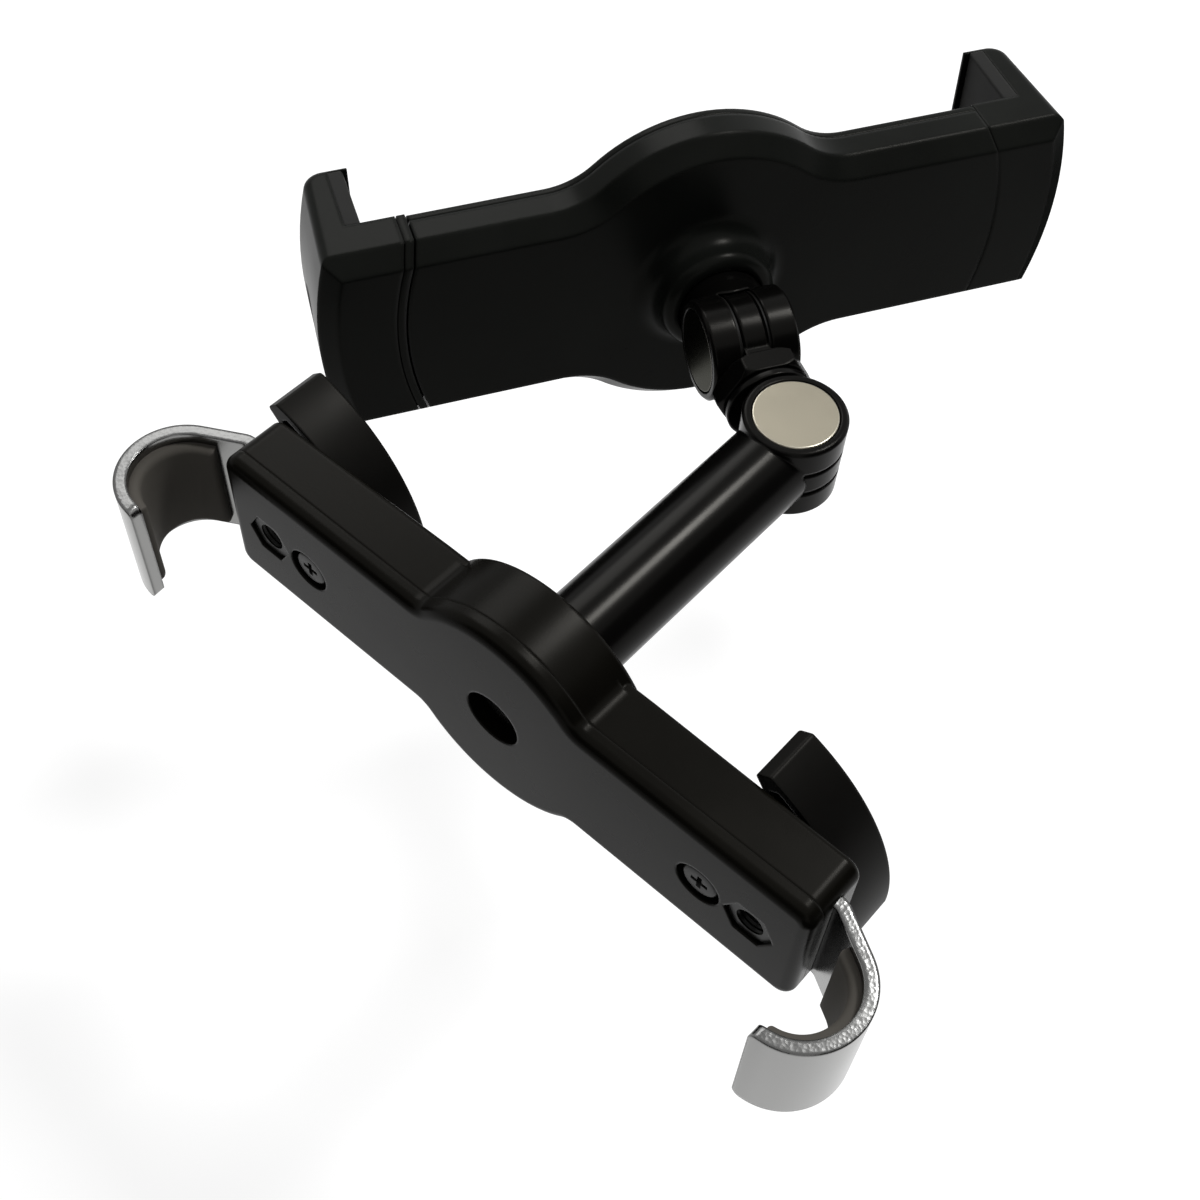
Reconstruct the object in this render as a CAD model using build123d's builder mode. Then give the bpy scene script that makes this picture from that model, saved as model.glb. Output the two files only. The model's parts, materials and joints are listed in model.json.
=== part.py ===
from build123d import *
from math import asin, atan2, cos, degrees, hypot, pi, radians, sin, sqrt
import os

# Clearances
clamp_gap = 0.1
slide_gap = 0.25
thread_gap = 0.05
screw_gap = 0.2
swivel_gap = 0.3
hinge_gap = 0.05
washer_gap = 0.1
cap_gap = 0.05
sweep_gap = 0.4

# Headrest posts, seen from the bar
post_radius = 7.0
post_outset = 3.1
post_setback = 6.2

# Chrome hook strips and their pads
strip_thickness = 2.2
strip_height = 24.0
strip_bend_radius = 3.0
strip_bend_outset = 0.8
strip_corner = 1.5
strip_end_land = 4.0
hook_tip_angle = -93.0
hook_travel = 15.0
hook_pad_thickness = 1.9
hook_pad_margin = 2.0
hook_pad_start = 54.0
hook_pad_stop = -86.0
hook_pad_round = 1.0

# Bar housing
bar_length = 125.0
bar_height = 28.6
bar_corner = 3.0
bar_end_wall = 2.0
hub_radius = 22.0
hub_blend = 4.0
hub_depth = 14.0
wing_root_depth = 13.3
wing_end_depth = 12.6
cover_depth = 3.4
cover_edge_round = 2.0
back_edge_round = 1.2
hub_rim_round = 0.6
access_radius = 5.5
channel_start = 19.0

# Clamp bolts, nuts and washers
hex_sides = 6
bolt_inset = 9.8
bolt_radius = 2.5
bolt_head_across = 8.0
bolt_head_thickness = 3.5
nut_across = 8.0
nut_thickness = 4.0
nut_recess = 0.6
nut_boss_radius = 6.3
nut_boss_rise = 2.1
bolt_end_depth = 2.2
bolt_head_recess = 0.3
seat_radius = 7.0
seat_depth = 13.0
clamp_washer_radius = 6.0
clamp_washer_thickness = 0.8

# Cover screws
screw_to_bolt = 9.8
cover_screw_radius = 1.5
cover_screw_length = 6.0
cover_head_radius = 3.5
cover_head_thickness = 1.8
cover_recess_radius = 4.25
cover_recess_depth = 2.2
screw_post_radius = 3.0

# Half-moon clamp knobs
knob_arc_radius = 31.5
knob_bulge = 7.0
knob_chord = 1.9
knob_half_span = 18.1
knob_stand_off = 14.0
knob_thickness = 10.6
knob_wall = 1.6
knob_top_wall = 2.0
knob_hub_radius = 5.6
knob_hub_blend = 4.0
knob_tip_round = 0.8
knob_edge_round = 0.6
left_knob_turn = 42.0
right_knob_turn = 34.0

# Arm and the screw that holds it in the hub
arm_radius = 8.2
arm_seat = 9.0
arm_web = 2.4
arm_screw_radius = 2.5
arm_screw_grip = 10.0
arm_head_radius = 4.25
arm_head_thickness = 3.0
arm_washer_radius = 5.0
arm_washer_thickness = 1.0

# Elbow and tilt barrels, which share their hardware
elbow_distance = 78.3
barrel_radius = 9.6
barrel_height = 17.2
ring_thickness = 5.0
ring_chamfer = 0.5
friction_washer_thickness = 0.5
friction_washer_radius = 9.2
hinge_screw_radius = 3.0
hinge_head_radius = 4.9
hinge_head_thickness = 2.2
hinge_nut_across = 9.0
hinge_nut_thickness = 2.4
cap_radius = 8.0
cap_thickness = 1.0
cap_edge = 0.3

# Link between the two barrels
link_swing = 58.9
link_length = 26.2
neck_width = 11.0
collar_radius = 8.4
collar_length = 1.8
collar_round = 0.8
hex_across = 16.6
hex_chamfer = 0.9
stud_radius = 3.0
eye_radius = 9.3
eye_neck = 12.0

# Tilt clevis and swivel stem
holder_tilt = -4.0
holder_spin = -0.6
back_distance = 18.1
stem_radius = 8.4
spigot_radius = 5.0
swivel_washer_radius = 8.0
swivel_washer_thickness = 1.2
swivel_screw_radius = 2.5
swivel_screw_grip = 6.0
swivel_head_radius = 4.5
swivel_head_thickness = 2.4

# Holder shell and its domed boss
boss_height = 7.4
boss_radius = 11.5
boss_rim_round = 2.2
boss_flare = 4.6
web_sink = 2.4
web_thickness = 2.8
half_height = 21.3
disc_radius = 32.1
disc_blend = 15.0
bevel = 3.5
shell_wall = 2.0
shell_depth = 9.0
ledge_depth = 4.4
front_thickness = 2.1
front_edge_round = 0.8
fixed_seam_radius = 61.5
shell_edge_radius = 60.0
holder_screw_span = 45.0
holder_screw_inset = 4.1
holder_screw_radius = 1.2
holder_screw_length = 5.0
holder_head_radius = 2.2
holder_head_thickness = 1.2
holder_post_radius = 2.2

# Jaws
seam_gap = 0.4
groove_radius = 62.0
groove_width = 0.3
groove_depth = 0.6
jaw_grip = 64.7
jaw_depth = 11.9
jaw_reach = 28.8
jaw_draft = 1.5
jaw_end_bevel = 2.6
jaw_round = 4.0
jaw_corner = 2.0
lip_overhang = 0.9
lip_thickness = 1.8
lip_round = 1.4
jaw_pad_thickness = 3.0
jaw_pad_hollow = 1.8
jaw_pad_round = 0.6
scoop_reach = 16.0
scoop_radius = 13.0
scoop_depth = 1.0
plug_length = 4.0

# Slide tongue and closing springs
jaw_travel = 60.0
tongue_half_width = 10.5
tongue_thickness = 3.0
tongue_end_gap = 2.0
lug_width = 3.0
lug_start = 4.5
spring_radius = 2.0
spring_bore = 1.3
spring_offset = 13.0
spring_anchor_inset = 9.5
spring_pin_radius = 1.2
spring_loop_thickness = 0.8

# Places along the bar and across it
half_length = bar_length / 2
post_reach = half_length + post_outset
bolt_place = half_length - bolt_inset
screw_place = bolt_place - screw_to_bolt
front = post_setback
parting = front + cover_depth
nut_boss_back = parting + nut_boss_rise
strip_front = nut_boss_back + clamp_gap
strip_middle = strip_front + strip_thickness / 2
channel_floor = strip_front + strip_thickness + clamp_gap
hub_back = front + hub_depth
blend_back = front + wing_root_depth - back_edge_round - hub_rim_round
seat = front + seat_depth
knob_foot = seat + clamp_washer_thickness + clamp_gap
knob_rim = front + knob_stand_off
knob_top = knob_rim + knob_thickness
arm_end = front + arm_seat
web_front = arm_end - arm_web
elbow = front + elbow_distance
ear_start = ring_thickness / 2 + washer_gap + friction_washer_thickness
barrel_end = barrel_height / 2
head_floor = barrel_end - cap_thickness - hinge_head_thickness
nut_floor = barrel_end - cap_thickness - hinge_nut_thickness
channel_half = strip_height / 2 + slide_gap
holder_front = shell_depth + front_thickness
end_radius = jaw_grip + jaw_depth
inner_half = half_height - shell_wall

# Places of the turned pieces: each frame has Y pointing on towards the tablet
link_place = Location((0, elbow, 0)) * Location((0, 0, 0), (0, 0, link_swing))
clevis_place = link_place * Location((0, link_length, 0)) * Location((0, 0, 0), (holder_tilt, 0, 0))
holder_place = clevis_place * Location((0, back_distance, 0)) * Location((0, 0, 0), (0, holder_spin, 0))
at_rest = Location((0, 0, 0))


def across(y):
    """The plane square to Y at y, with X to the right and Z up."""
    return Plane.XZ.offset(-y)


def rod(y, length, radius, x=0.0, z=0.0, mode=Mode.ADD):
    """A round length along Y that starts at y."""
    with BuildSketch(across(y)) as section:
        with Locations((x, z)):
            Circle(radius)
    extrude(section.sketch, amount=-length, mode=mode)


def hex_rod(y, length, across_flats, x=0.0, z=0.0, mode=Mode.ADD):
    """A hexagonal length along Y that starts at y, with its flats above and below."""
    with BuildSketch(across(y)) as section:
        with Locations((x, z)):
            RegularPolygon(across_flats / 2, hex_sides, major_radius=False)
    extrude(section.sketch, amount=-length, mode=mode)


def pillar(base, length, radius, y=0.0, mode=Mode.ADD):
    """A round length along Z that starts at the height base."""
    with BuildSketch(Plane.XY.offset(base)) as section:
        with Locations((0, y)):
            Circle(radius)
    extrude(section.sketch, amount=length, mode=mode)


def spindle(start, length, radius, y=0.0, mode=Mode.ADD):
    """A round length along X that starts at start."""
    with BuildSketch(Plane.YZ.offset(start)) as section:
        with Locations((y, 0)):
            Circle(radius)
    extrude(section.sketch, amount=length, mode=mode)


def keep(piece, name, place=at_rest):
    """Sets a finished piece in its place, labels it and writes its file."""
    placed = piece.moved(place)
    placed.label = name
    export_step(placed, f"parts/{name}.step")


def bar_outline(y, reach=half_length):
    """The bar's outline out to a reach each side, seen from the front: a long plate with a round hub."""
    with BuildSketch(across(y)) as outline:
        RectangleRounded(bar_length, bar_height, bar_corner)
        Circle(hub_radius)
        fillet(outline.vertices().filter_by(lambda v: abs(v.X) < hub_radius), hub_blend)
        Rectangle(2 * reach, 2 * hub_radius, mode=Mode.INTERSECT)
    return outline.sketch


def holder_outline(y, inset=0.0):
    """The holder's long edges: two straight wings that swell round a disc."""
    with BuildSketch(across(y)) as outline:
        Rectangle(2 * end_radius, 2 * half_height)
        Circle(disc_radius)
        fillet(outline.vertices().filter_by(lambda v: abs(v.X) < disc_radius), disc_blend)
        if inset:
            offset(amount=-inset, mode=Mode.REPLACE)
            Rectangle(2 * end_radius, 2 * (half_height - inset))
    return outline.sketch


def between_seams(y):
    """The stretch of the holder between its two curved seams."""
    with BuildSketch(across(y)) as stretch:
        Circle(fixed_seam_radius)
        split(bisect_by=Plane.YZ)
        Circle(shell_edge_radius)
    return stretch.sketch


def hook_path():
    """Where the strip leaves the bar, how far it falls, and where it meets the post's circle."""
    radius = post_radius + hook_pad_thickness + strip_thickness / 2
    bend = Vector(half_length + strip_bend_outset, strip_middle)
    reach = post_reach - bend.X
    fall = degrees(atan2(bend.Y, reach) - asin(radius / hypot(reach, bend.Y)))
    touch = Vector(post_reach + radius * sin(radians(fall)), radius * cos(radians(fall)))
    return radius, bend, fall, touch


def make_hook(side, name):
    """One bent strip, slotted for the clamp bolt and the screw post, and the pad inside its bend."""
    radius, bend, fall, touch = hook_path()
    slot_half = screw_post_radius + sweep_gap
    slot_start = screw_place - slot_half - hook_travel
    slot_stop = bolt_place + slot_half
    strip_start = slot_start - strip_end_land
    with BuildPart() as hook:
        with BuildSketch(Plane.XY.offset(-strip_height / 2)):
            with BuildLine():
                FilletPolyline((strip_start, strip_middle), bend, touch, radius=strip_bend_radius)
                CenterArc((post_reach, 0), radius, 90 - fall, hook_tip_angle - 90 + fall)
            trace(line_width=strip_thickness)
        extrude(amount=strip_height)
        fillet(hook.edges().filter_by(GeomType.LINE).filter_by(Axis.Z, reverse=True)
               .filter_by(lambda e: e.length < strip_thickness + thread_gap), strip_corner)
        with BuildSketch(across(front)):
            with Locations(((slot_start + slot_stop) / 2, 0)):
                SlotOverall(slot_stop - slot_start, 2 * slot_half)
        extrude(amount=-hub_depth, mode=Mode.SUBTRACT)
        if side < 0:
            mirror(hook.part, about=Plane.YZ, mode=Mode.REPLACE)
    keep(hook.part, name)
    pad_height = strip_height - 2 * hook_pad_margin
    with BuildPart() as pad:
        with BuildSketch(Plane.XY.offset(-pad_height / 2)):
            with BuildLine():
                CenterArc((post_reach, 0), post_radius + hook_pad_thickness / 2,
                          hook_pad_start, hook_pad_stop - hook_pad_start)
            trace(line_width=hook_pad_thickness)
        extrude(amount=pad_height)
        fillet(pad.faces().filter_by(GeomType.CYLINDER).sort_by(SortBy.AREA)[0].edges(), hook_pad_round)
        if side < 0:
            mirror(pad.part, about=Plane.YZ, mode=Mode.REPLACE)
    keep(pad.part, f"{name}_pad")


def half_moon(inset=0.0):
    """The lever's plain half-moon with square-cut tips, drawn smaller by an inset."""
    radius = knob_arc_radius - inset
    centre = knob_bulge - knob_arc_radius
    chord = inset - knob_chord
    span = knob_half_span - 2 * inset
    tip = centre + sqrt(radius**2 - span**2)
    with BuildSketch() as outline:
        with BuildLine():
            Polyline((tip, -span), (chord, -span), (chord, span), (tip, span))
            ThreePointArc((tip, span), (centre + radius, 0), (tip, -span))
        make_face()
    return outline.sketch


def knob_outline():
    """The half-moon with softened tips and the round hub that swells out of its chord."""
    with BuildSketch() as outline:
        add(half_moon())
        fillet(outline.vertices(), knob_tip_round)
        Circle(knob_hub_radius)
        fillet(outline.vertices().filter_by(lambda v: abs(v.X + knob_chord) < thread_gap
                                            and abs(v.Y) < knob_hub_radius), knob_hub_blend)
    return outline.sketch


def make_knob(x, turn, side_name):
    """One hollow lever knob and the bolt whose head it holds."""
    place = across(knob_rim) * Location((x, 0, 0), (0, 0, turn))
    with BuildPart() as knob:
        extrude(place * knob_outline(), amount=-knob_thickness)
        fillet(knob.faces().sort_by(Axis.Y)[-1].edges(), knob_edge_round)
        extrude(place * half_moon(knob_wall), amount=knob_top_wall - knob_thickness, mode=Mode.SUBTRACT)
        rod(knob_foot, knob_top - knob_foot - knob_top_wall, knob_hub_radius, x)
        rod(knob_foot, knob_thickness + knob_stand_off, bolt_radius, x, mode=Mode.SUBTRACT)
        hex_rod(knob_top - bolt_head_thickness, bolt_head_thickness, bolt_head_across, x,
                mode=Mode.SUBTRACT)
    keep(knob.part, f"{side_name}_knob")
    with BuildPart() as bolt:
        rod(front + bolt_end_depth, knob_top - bolt_head_thickness - front - bolt_end_depth,
            bolt_radius, x)
        hex_rod(knob_top - bolt_head_thickness, bolt_head_thickness - bolt_head_recess,
                bolt_head_across, x)
    keep(bolt.part, f"{side_name}_clamp_bolt")


def make_pad(name, side):
    """The lining of a jaw's wall, which ends a little short of the lip."""
    stop = jaw_reach - lip_thickness - jaw_pad_hollow
    with BuildPart() as pad:
        with BuildSketch():
            with Locations((jaw_grip, holder_front)):
                Rectangle(jaw_pad_thickness, stop - holder_front, align=(Align.MIN, Align.MIN))
        extrude(amount=half_height, both=True)
        fillet(pad.faces().sort_by(Axis.X)[0].edges().sort_by(Axis.Y)[1:], jaw_pad_round)
        if side < 0:
            mirror(pad.part, about=Plane.YZ, mode=Mode.REPLACE)
    keep(pad.part, name, holder_place)


def jaw_envelope():
    """The turned form that rounds a jaw's outer end: back bevel, drafted wall and soft front corner."""
    tip_radius = end_radius - jaw_draft
    with BuildPart() as envelope:
        with BuildSketch() as section:
            with BuildLine():
                Polyline((0, 0), (end_radius - bevel, 0), (end_radius, jaw_end_bevel),
                         (tip_radius, jaw_reach), (0, jaw_reach), close=True)
            make_face()
            fillet(section.vertices().sort_by_distance((tip_radius, jaw_reach))[0], jaw_round)
        revolve(axis=Axis.Y)
    return envelope.part


def skin_groove():
    """The fine curved line that runs round a jaw's block, cut only into its outer skin."""
    with BuildPart() as core:
        with BuildSketch(across(groove_depth)):
            Rectangle(2 * end_radius, 2 * (half_height - groove_depth))
        extrude(amount=groove_depth - holder_front)
        chamfer(core.edges().filter_by(Axis.X).group_by(Axis.Y)[0], bevel)
    with BuildPart() as ring:
        with BuildSketch(across(0)):
            Circle(groove_radius + groove_width / 2)
            Circle(groove_radius - groove_width / 2, mode=Mode.SUBTRACT)
        extrude(amount=-holder_front)
        add(core.part, mode=Mode.SUBTRACT)
    return ring.part


def make_jaw(name, side, seam_radius, tail):
    """One jaw: a bevelled end block with a wall and lip, and the tail that enters the shell."""
    lip = jaw_reach - lip_thickness
    wall = jaw_grip + jaw_pad_thickness
    edge = jaw_grip - lip_overhang
    root = sqrt(seam_radius**2 - half_height**2)
    with BuildPart() as jaw:
        with BuildSketch():
            with Locations((root, 0)):
                Rectangle(end_radius - root, jaw_reach, align=(Align.MIN, Align.MIN))
        extrude(amount=half_height, both=True)
        chamfer(jaw.edges().filter_by(Axis.X).group_by(Axis.Y)[0], bevel)
        add(jaw_envelope(), mode=Mode.INTERSECT)
        fillet(jaw.edges().filter_by(lambda e: e.geom_type not in (GeomType.LINE, GeomType.CIRCLE)
                                     and abs(abs(e.center().Z) - half_height) < thread_gap), jaw_corner)
        with BuildSketch() as section:
            with BuildLine():
                Polyline((root, 0), (end_radius, 0), (end_radius, jaw_reach), (edge, jaw_reach),
                         (edge, lip), (wall, lip), (wall, holder_front), (root, holder_front),
                         close=True)
            make_face()
            fillet(section.vertices().sort_by_distance((edge, jaw_reach))[0], lip_round)
        extrude(amount=half_height, both=True, mode=Mode.INTERSECT)
        rod(0, holder_front, seam_radius, mode=Mode.SUBTRACT)
        if side < 0:
            add(skin_groove(), mode=Mode.SUBTRACT)
            scooped = end_radius - jaw_draft * scoop_reach / jaw_reach - scoop_depth
            with Locations((scooped + scoop_radius, scoop_reach, 0)):
                Sphere(scoop_radius, mode=Mode.SUBTRACT)
        add(tail)
        if side < 0:
            mirror(jaw.part, about=Plane.YZ, mode=Mode.REPLACE)
    keep(jaw.part, name, holder_place)


def plug(stop_radius, edge_radius):
    """The collar that enters the shell's open end, across the full inner height."""
    start = sqrt(edge_radius**2 - inner_half**2) - plug_length
    tall = 2 * (inner_half - slide_gap)
    with BuildPart() as collar:
        with BuildSketch(across(ledge_depth + slide_gap)):
            with Locations((start, 0)):
                Rectangle(stop_radius - start, tall, align=(Align.MIN, Align.CENTER))
            Circle(stop_radius, mode=Mode.INTERSECT)
        extrude(amount=ledge_depth + 2 * slide_gap - shell_depth)
    return collar.part


def slide_tail():
    """The sliding jaw's collar and its long tongue, with a lug each side for the springs."""
    tongue_stop = fixed_seam_radius - plug_length - shell_wall - tongue_end_gap
    with BuildPart() as tail:
        add(plug(groove_radius + groove_width, shell_edge_radius))
        with BuildSketch(across(ledge_depth + slide_gap)):
            with Locations((-tongue_stop, 0)):
                Rectangle(shell_edge_radius + tongue_stop, 2 * tongue_half_width,
                          align=(Align.MIN, Align.CENTER))
            with Locations((-lug_start, 0)):
                Rectangle(lug_width, 2 * (spring_offset + spring_radius), align=(Align.MAX, Align.CENTER))
        extrude(amount=-tongue_thickness)
    return tail.part


os.makedirs("parts", exist_ok=True)

# Front cover: nut pockets, sunk screw seats and the screwdriver hole in the hub
with BuildPart() as front_cover:
    extrude(bar_outline(front), amount=-cover_depth)
    fillet(front_cover.faces().sort_by(Axis.Y)[0].edges(), cover_edge_round)
    rod(front, cover_depth, access_radius, mode=Mode.SUBTRACT)
    for side in (-1, 1):
        rod(parting, nut_boss_rise, nut_boss_radius, side * bolt_place)
        hex_rod(front, nut_recess + nut_thickness, nut_across + 2 * clamp_gap, side * bolt_place,
                mode=Mode.SUBTRACT)
        rod(front, cover_depth + nut_boss_rise, bolt_radius + screw_gap, side * bolt_place,
            mode=Mode.SUBTRACT)
        rod(front, cover_recess_depth, cover_recess_radius, side * screw_place, mode=Mode.SUBTRACT)
        rod(front, cover_depth, cover_screw_radius + screw_gap, side * screw_place, mode=Mode.SUBTRACT)
keep(front_cover.part, "front_cover")

# What the sloping backs of the wings leave away
with BuildPart() as wing_slope:
    with BuildSketch():
        with BuildLine():
            Polyline((0, front + wing_root_depth), (hub_radius, front + wing_root_depth),
                     (half_length, front + wing_end_depth), (half_length, hub_back), (0, hub_back),
                     close=True)
        make_face()
        mirror(about=Plane.YZ)
    extrude(amount=bar_height, both=True)

# Rear housing: hub with the arm socket, sloping wings and a channel for each strip
with BuildPart() as rear_housing:
    with BuildSketch(across(parting)):
        RectangleRounded(bar_length, bar_height, bar_corner)
    extrude(amount=parting - hub_back)
    add(wing_slope.part, mode=Mode.SUBTRACT)
    wing_backs = rear_housing.faces().filter_by(lambda f: f.normal_at().Y > abs(f.normal_at().X))
    fillet(wing_backs.edges().filter_by(lambda e: abs(abs(e.center().X) - hub_radius) > hub_rim_round),
           back_edge_round)
    rod(parting, hub_back - parting, hub_radius)
    fillet(rear_housing.faces().sort_by(Axis.Y)[-1].edges(), hub_rim_round)
    extrude(bar_outline(parting, hub_radius + hub_blend), amount=parting - blend_back)
    for side in (-1, 1):
        rod(channel_floor, seat - channel_floor, seat_radius, side * bolt_place)
        channel_stop = half_length - bar_end_wall
        with BuildSketch(across(parting)):
            with Locations((side * (channel_start + channel_stop) / 2, 0)):
                Rectangle(channel_stop - channel_start, 2 * channel_half)
        extrude(amount=parting - channel_floor, mode=Mode.SUBTRACT)
        with BuildSketch(across(strip_front - clamp_gap)):
            with Locations((side * half_length, 0)):
                Rectangle(2 * (bar_end_wall + slide_gap), 2 * channel_half)
        extrude(amount=strip_front - clamp_gap - channel_floor, mode=Mode.SUBTRACT)
        rod(parting, channel_floor - parting, screw_post_radius, side * screw_place)
        rod(parting, cover_screw_length, cover_screw_radius + thread_gap, side * screw_place,
            mode=Mode.SUBTRACT)
        rod(channel_floor, hub_depth, bolt_radius + screw_gap, side * bolt_place, mode=Mode.SUBTRACT)
    rod(parting, web_front - parting, access_radius, mode=Mode.SUBTRACT)
    rod(web_front, arm_web, arm_screw_radius + screw_gap, mode=Mode.SUBTRACT)
    rod(arm_end, hub_depth, arm_radius + hinge_gap, mode=Mode.SUBTRACT)
keep(rear_housing.part, "rear_housing")

# Screws of the front cover
with BuildPart() as cover_screws:
    for side in (-1, 1):
        rod(front + cover_recess_depth - cover_head_thickness, cover_head_thickness, cover_head_radius,
            side * screw_place)
        rod(front + cover_recess_depth, cover_screw_length, cover_screw_radius, side * screw_place)
keep(cover_screws.part, "cover_screws")

# Captive nuts in the front cover
with BuildPart() as clamp_nuts:
    for side in (-1, 1):
        hex_rod(front + nut_recess, nut_thickness, nut_across, side * bolt_place)
        rod(front + nut_recess, nut_thickness, bolt_radius + thread_gap, side * bolt_place,
            mode=Mode.SUBTRACT)
keep(clamp_nuts.part, "clamp_nuts")

# Washers under the knobs
with BuildPart() as clamp_washers:
    for side in (-1, 1):
        rod(seat, clamp_washer_thickness, clamp_washer_radius, side * bolt_place)
        rod(seat, clamp_washer_thickness, bolt_radius + screw_gap, side * bolt_place, mode=Mode.SUBTRACT)
keep(clamp_washers.part, "clamp_washers")

# Hooks, pads, knobs and bolts, one set each side
make_hook(-1, "left_hook")
make_hook(1, "right_hook")
make_knob(-bolt_place, left_knob_turn, "left")
make_knob(bolt_place, right_knob_turn, "right")

# Arm: a round bar that swells into the forked elbow barrel
with BuildPart() as arm:
    pillar(-barrel_end, barrel_height, barrel_radius, elbow)
    chamfer(arm.edges().filter_by(GeomType.CIRCLE), ring_chamfer)
    rod(arm_end, elbow - arm_end, arm_radius)
    pillar(-ear_start, 2 * ear_start, barrel_radius + sweep_gap, elbow, mode=Mode.SUBTRACT)
    for base in (barrel_end - cap_thickness, -barrel_end):
        pillar(base, cap_thickness, cap_radius + cap_gap, elbow, mode=Mode.SUBTRACT)
    pillar(head_floor, hinge_head_thickness, hinge_head_radius + screw_gap, elbow, mode=Mode.SUBTRACT)
    pillar(-barrel_end, barrel_height, hinge_screw_radius + hinge_gap, elbow, mode=Mode.SUBTRACT)
    with BuildSketch(Plane.XY.offset(-barrel_end)):
        with Locations((0, elbow)):
            RegularPolygon(hinge_nut_across / 2 + clamp_gap, hex_sides, major_radius=False)
    extrude(amount=cap_thickness + hinge_nut_thickness, mode=Mode.SUBTRACT)
    rod(arm_end, arm_screw_grip, arm_screw_radius + thread_gap, mode=Mode.SUBTRACT)
keep(arm.part, "arm")

# Screw and washer that hold the arm in the hub
with BuildPart() as arm_screw:
    rod(web_front - arm_washer_thickness - arm_head_thickness, arm_head_thickness, arm_head_radius)
    rod(web_front - arm_washer_thickness, arm_washer_thickness + arm_web + arm_screw_grip,
        arm_screw_radius)
keep(arm_screw.part, "arm_screw")
with BuildPart() as arm_washer:
    rod(web_front - arm_washer_thickness, arm_washer_thickness, arm_washer_radius)
    rod(web_front - arm_washer_thickness, arm_washer_thickness, arm_screw_radius + thread_gap,
        mode=Mode.SUBTRACT)
keep(arm_washer.part, "arm_washer")

# Elbow hardware: through screw, nut, friction washers and the two bright caps
with BuildPart() as elbow_screw:
    pillar(head_floor, hinge_head_thickness, hinge_head_radius, elbow)
    pillar(-nut_floor - hinge_nut_thickness, nut_floor + hinge_nut_thickness + head_floor,
           hinge_screw_radius, elbow)
keep(elbow_screw.part, "elbow_screw")
with BuildPart() as elbow_nut:
    with BuildSketch(Plane.XY.offset(-nut_floor - hinge_nut_thickness)):
        with Locations((0, elbow)):
            RegularPolygon(hinge_nut_across / 2, hex_sides, major_radius=False)
            Circle(hinge_screw_radius + thread_gap, mode=Mode.SUBTRACT)
    extrude(amount=hinge_nut_thickness)
keep(elbow_nut.part, "elbow_nut")
with BuildPart() as elbow_washers:
    for base in (ear_start - friction_washer_thickness, -ear_start):
        pillar(base, friction_washer_thickness, friction_washer_radius, elbow)
        pillar(base, friction_washer_thickness, hinge_screw_radius + hinge_gap, elbow,
               mode=Mode.SUBTRACT)
keep(elbow_washers.part, "elbow_washers")
for base, name in ((barrel_end - cap_thickness, "elbow_top_cap"), (-barrel_end, "elbow_bottom_cap")):
    with BuildPart() as elbow_cap:
        pillar(base, cap_thickness, cap_radius, elbow)
        chamfer(elbow_cap.edges().sort_by(lambda e: abs(e.center().Z))[-1], cap_edge)
    keep(elbow_cap.part, name)

# Link: the tongue that turns in the elbow, with a round collar
collar_start = barrel_radius + sweep_gap
collar_end = collar_start + collar_length
hex_end = link_length - barrel_radius - sweep_gap
with BuildPart() as link_tongue:
    pillar(-ring_thickness / 2, ring_thickness, barrel_radius)
    chamfer(link_tongue.edges().filter_by(GeomType.CIRCLE), ring_chamfer)
    rod(collar_start, collar_length, collar_radius)
    fillet(link_tongue.edges().filter_by(GeomType.CIRCLE).group_by(Axis.Y)[-1], collar_round)
    with BuildSketch(Plane.XY.offset(-ring_thickness / 2)):
        with Locations((0, collar_start / 2)):
            Rectangle(neck_width, collar_start)
    extrude(amount=ring_thickness)
    pillar(-ring_thickness / 2, ring_thickness, hinge_screw_radius + hinge_gap, mode=Mode.SUBTRACT)
    rod(collar_start, collar_length, stud_radius + thread_gap, mode=Mode.SUBTRACT)
keep(link_tongue.part, "link_tongue", link_place)

# Hexagon of the eye, with the corners chamfered at both ends
with BuildPart() as hexagon:
    rod(collar_end, hex_end - collar_end, hex_across / 2 / cos(pi / hex_sides))
    chamfer(hexagon.edges().filter_by(GeomType.CIRCLE), hex_chamfer)
    hex_rod(collar_end, hex_end - collar_end, hex_across, mode=Mode.INTERSECT)

# Hex eye screwed into the collar
with BuildPart() as hex_eye:
    rod(collar_start, collar_length, stud_radius)
    add(hexagon.part)
    spindle(-ring_thickness / 2, ring_thickness, eye_radius, link_length)
    chamfer(hex_eye.edges().filter_by(GeomType.CIRCLE).filter_by(
        lambda e: abs(e.radius - eye_radius) < hinge_gap), ring_chamfer)
    with BuildSketch(Plane.YZ.offset(-ring_thickness / 2)):
        with Locations(((hex_end + link_length) / 2, 0)):
            Rectangle(link_length - hex_end, eye_neck)
    extrude(amount=ring_thickness)
    spindle(-ring_thickness / 2, ring_thickness, hinge_screw_radius + hinge_gap, link_length,
            mode=Mode.SUBTRACT)
keep(hex_eye.part, "hex_eye", link_place)

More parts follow.
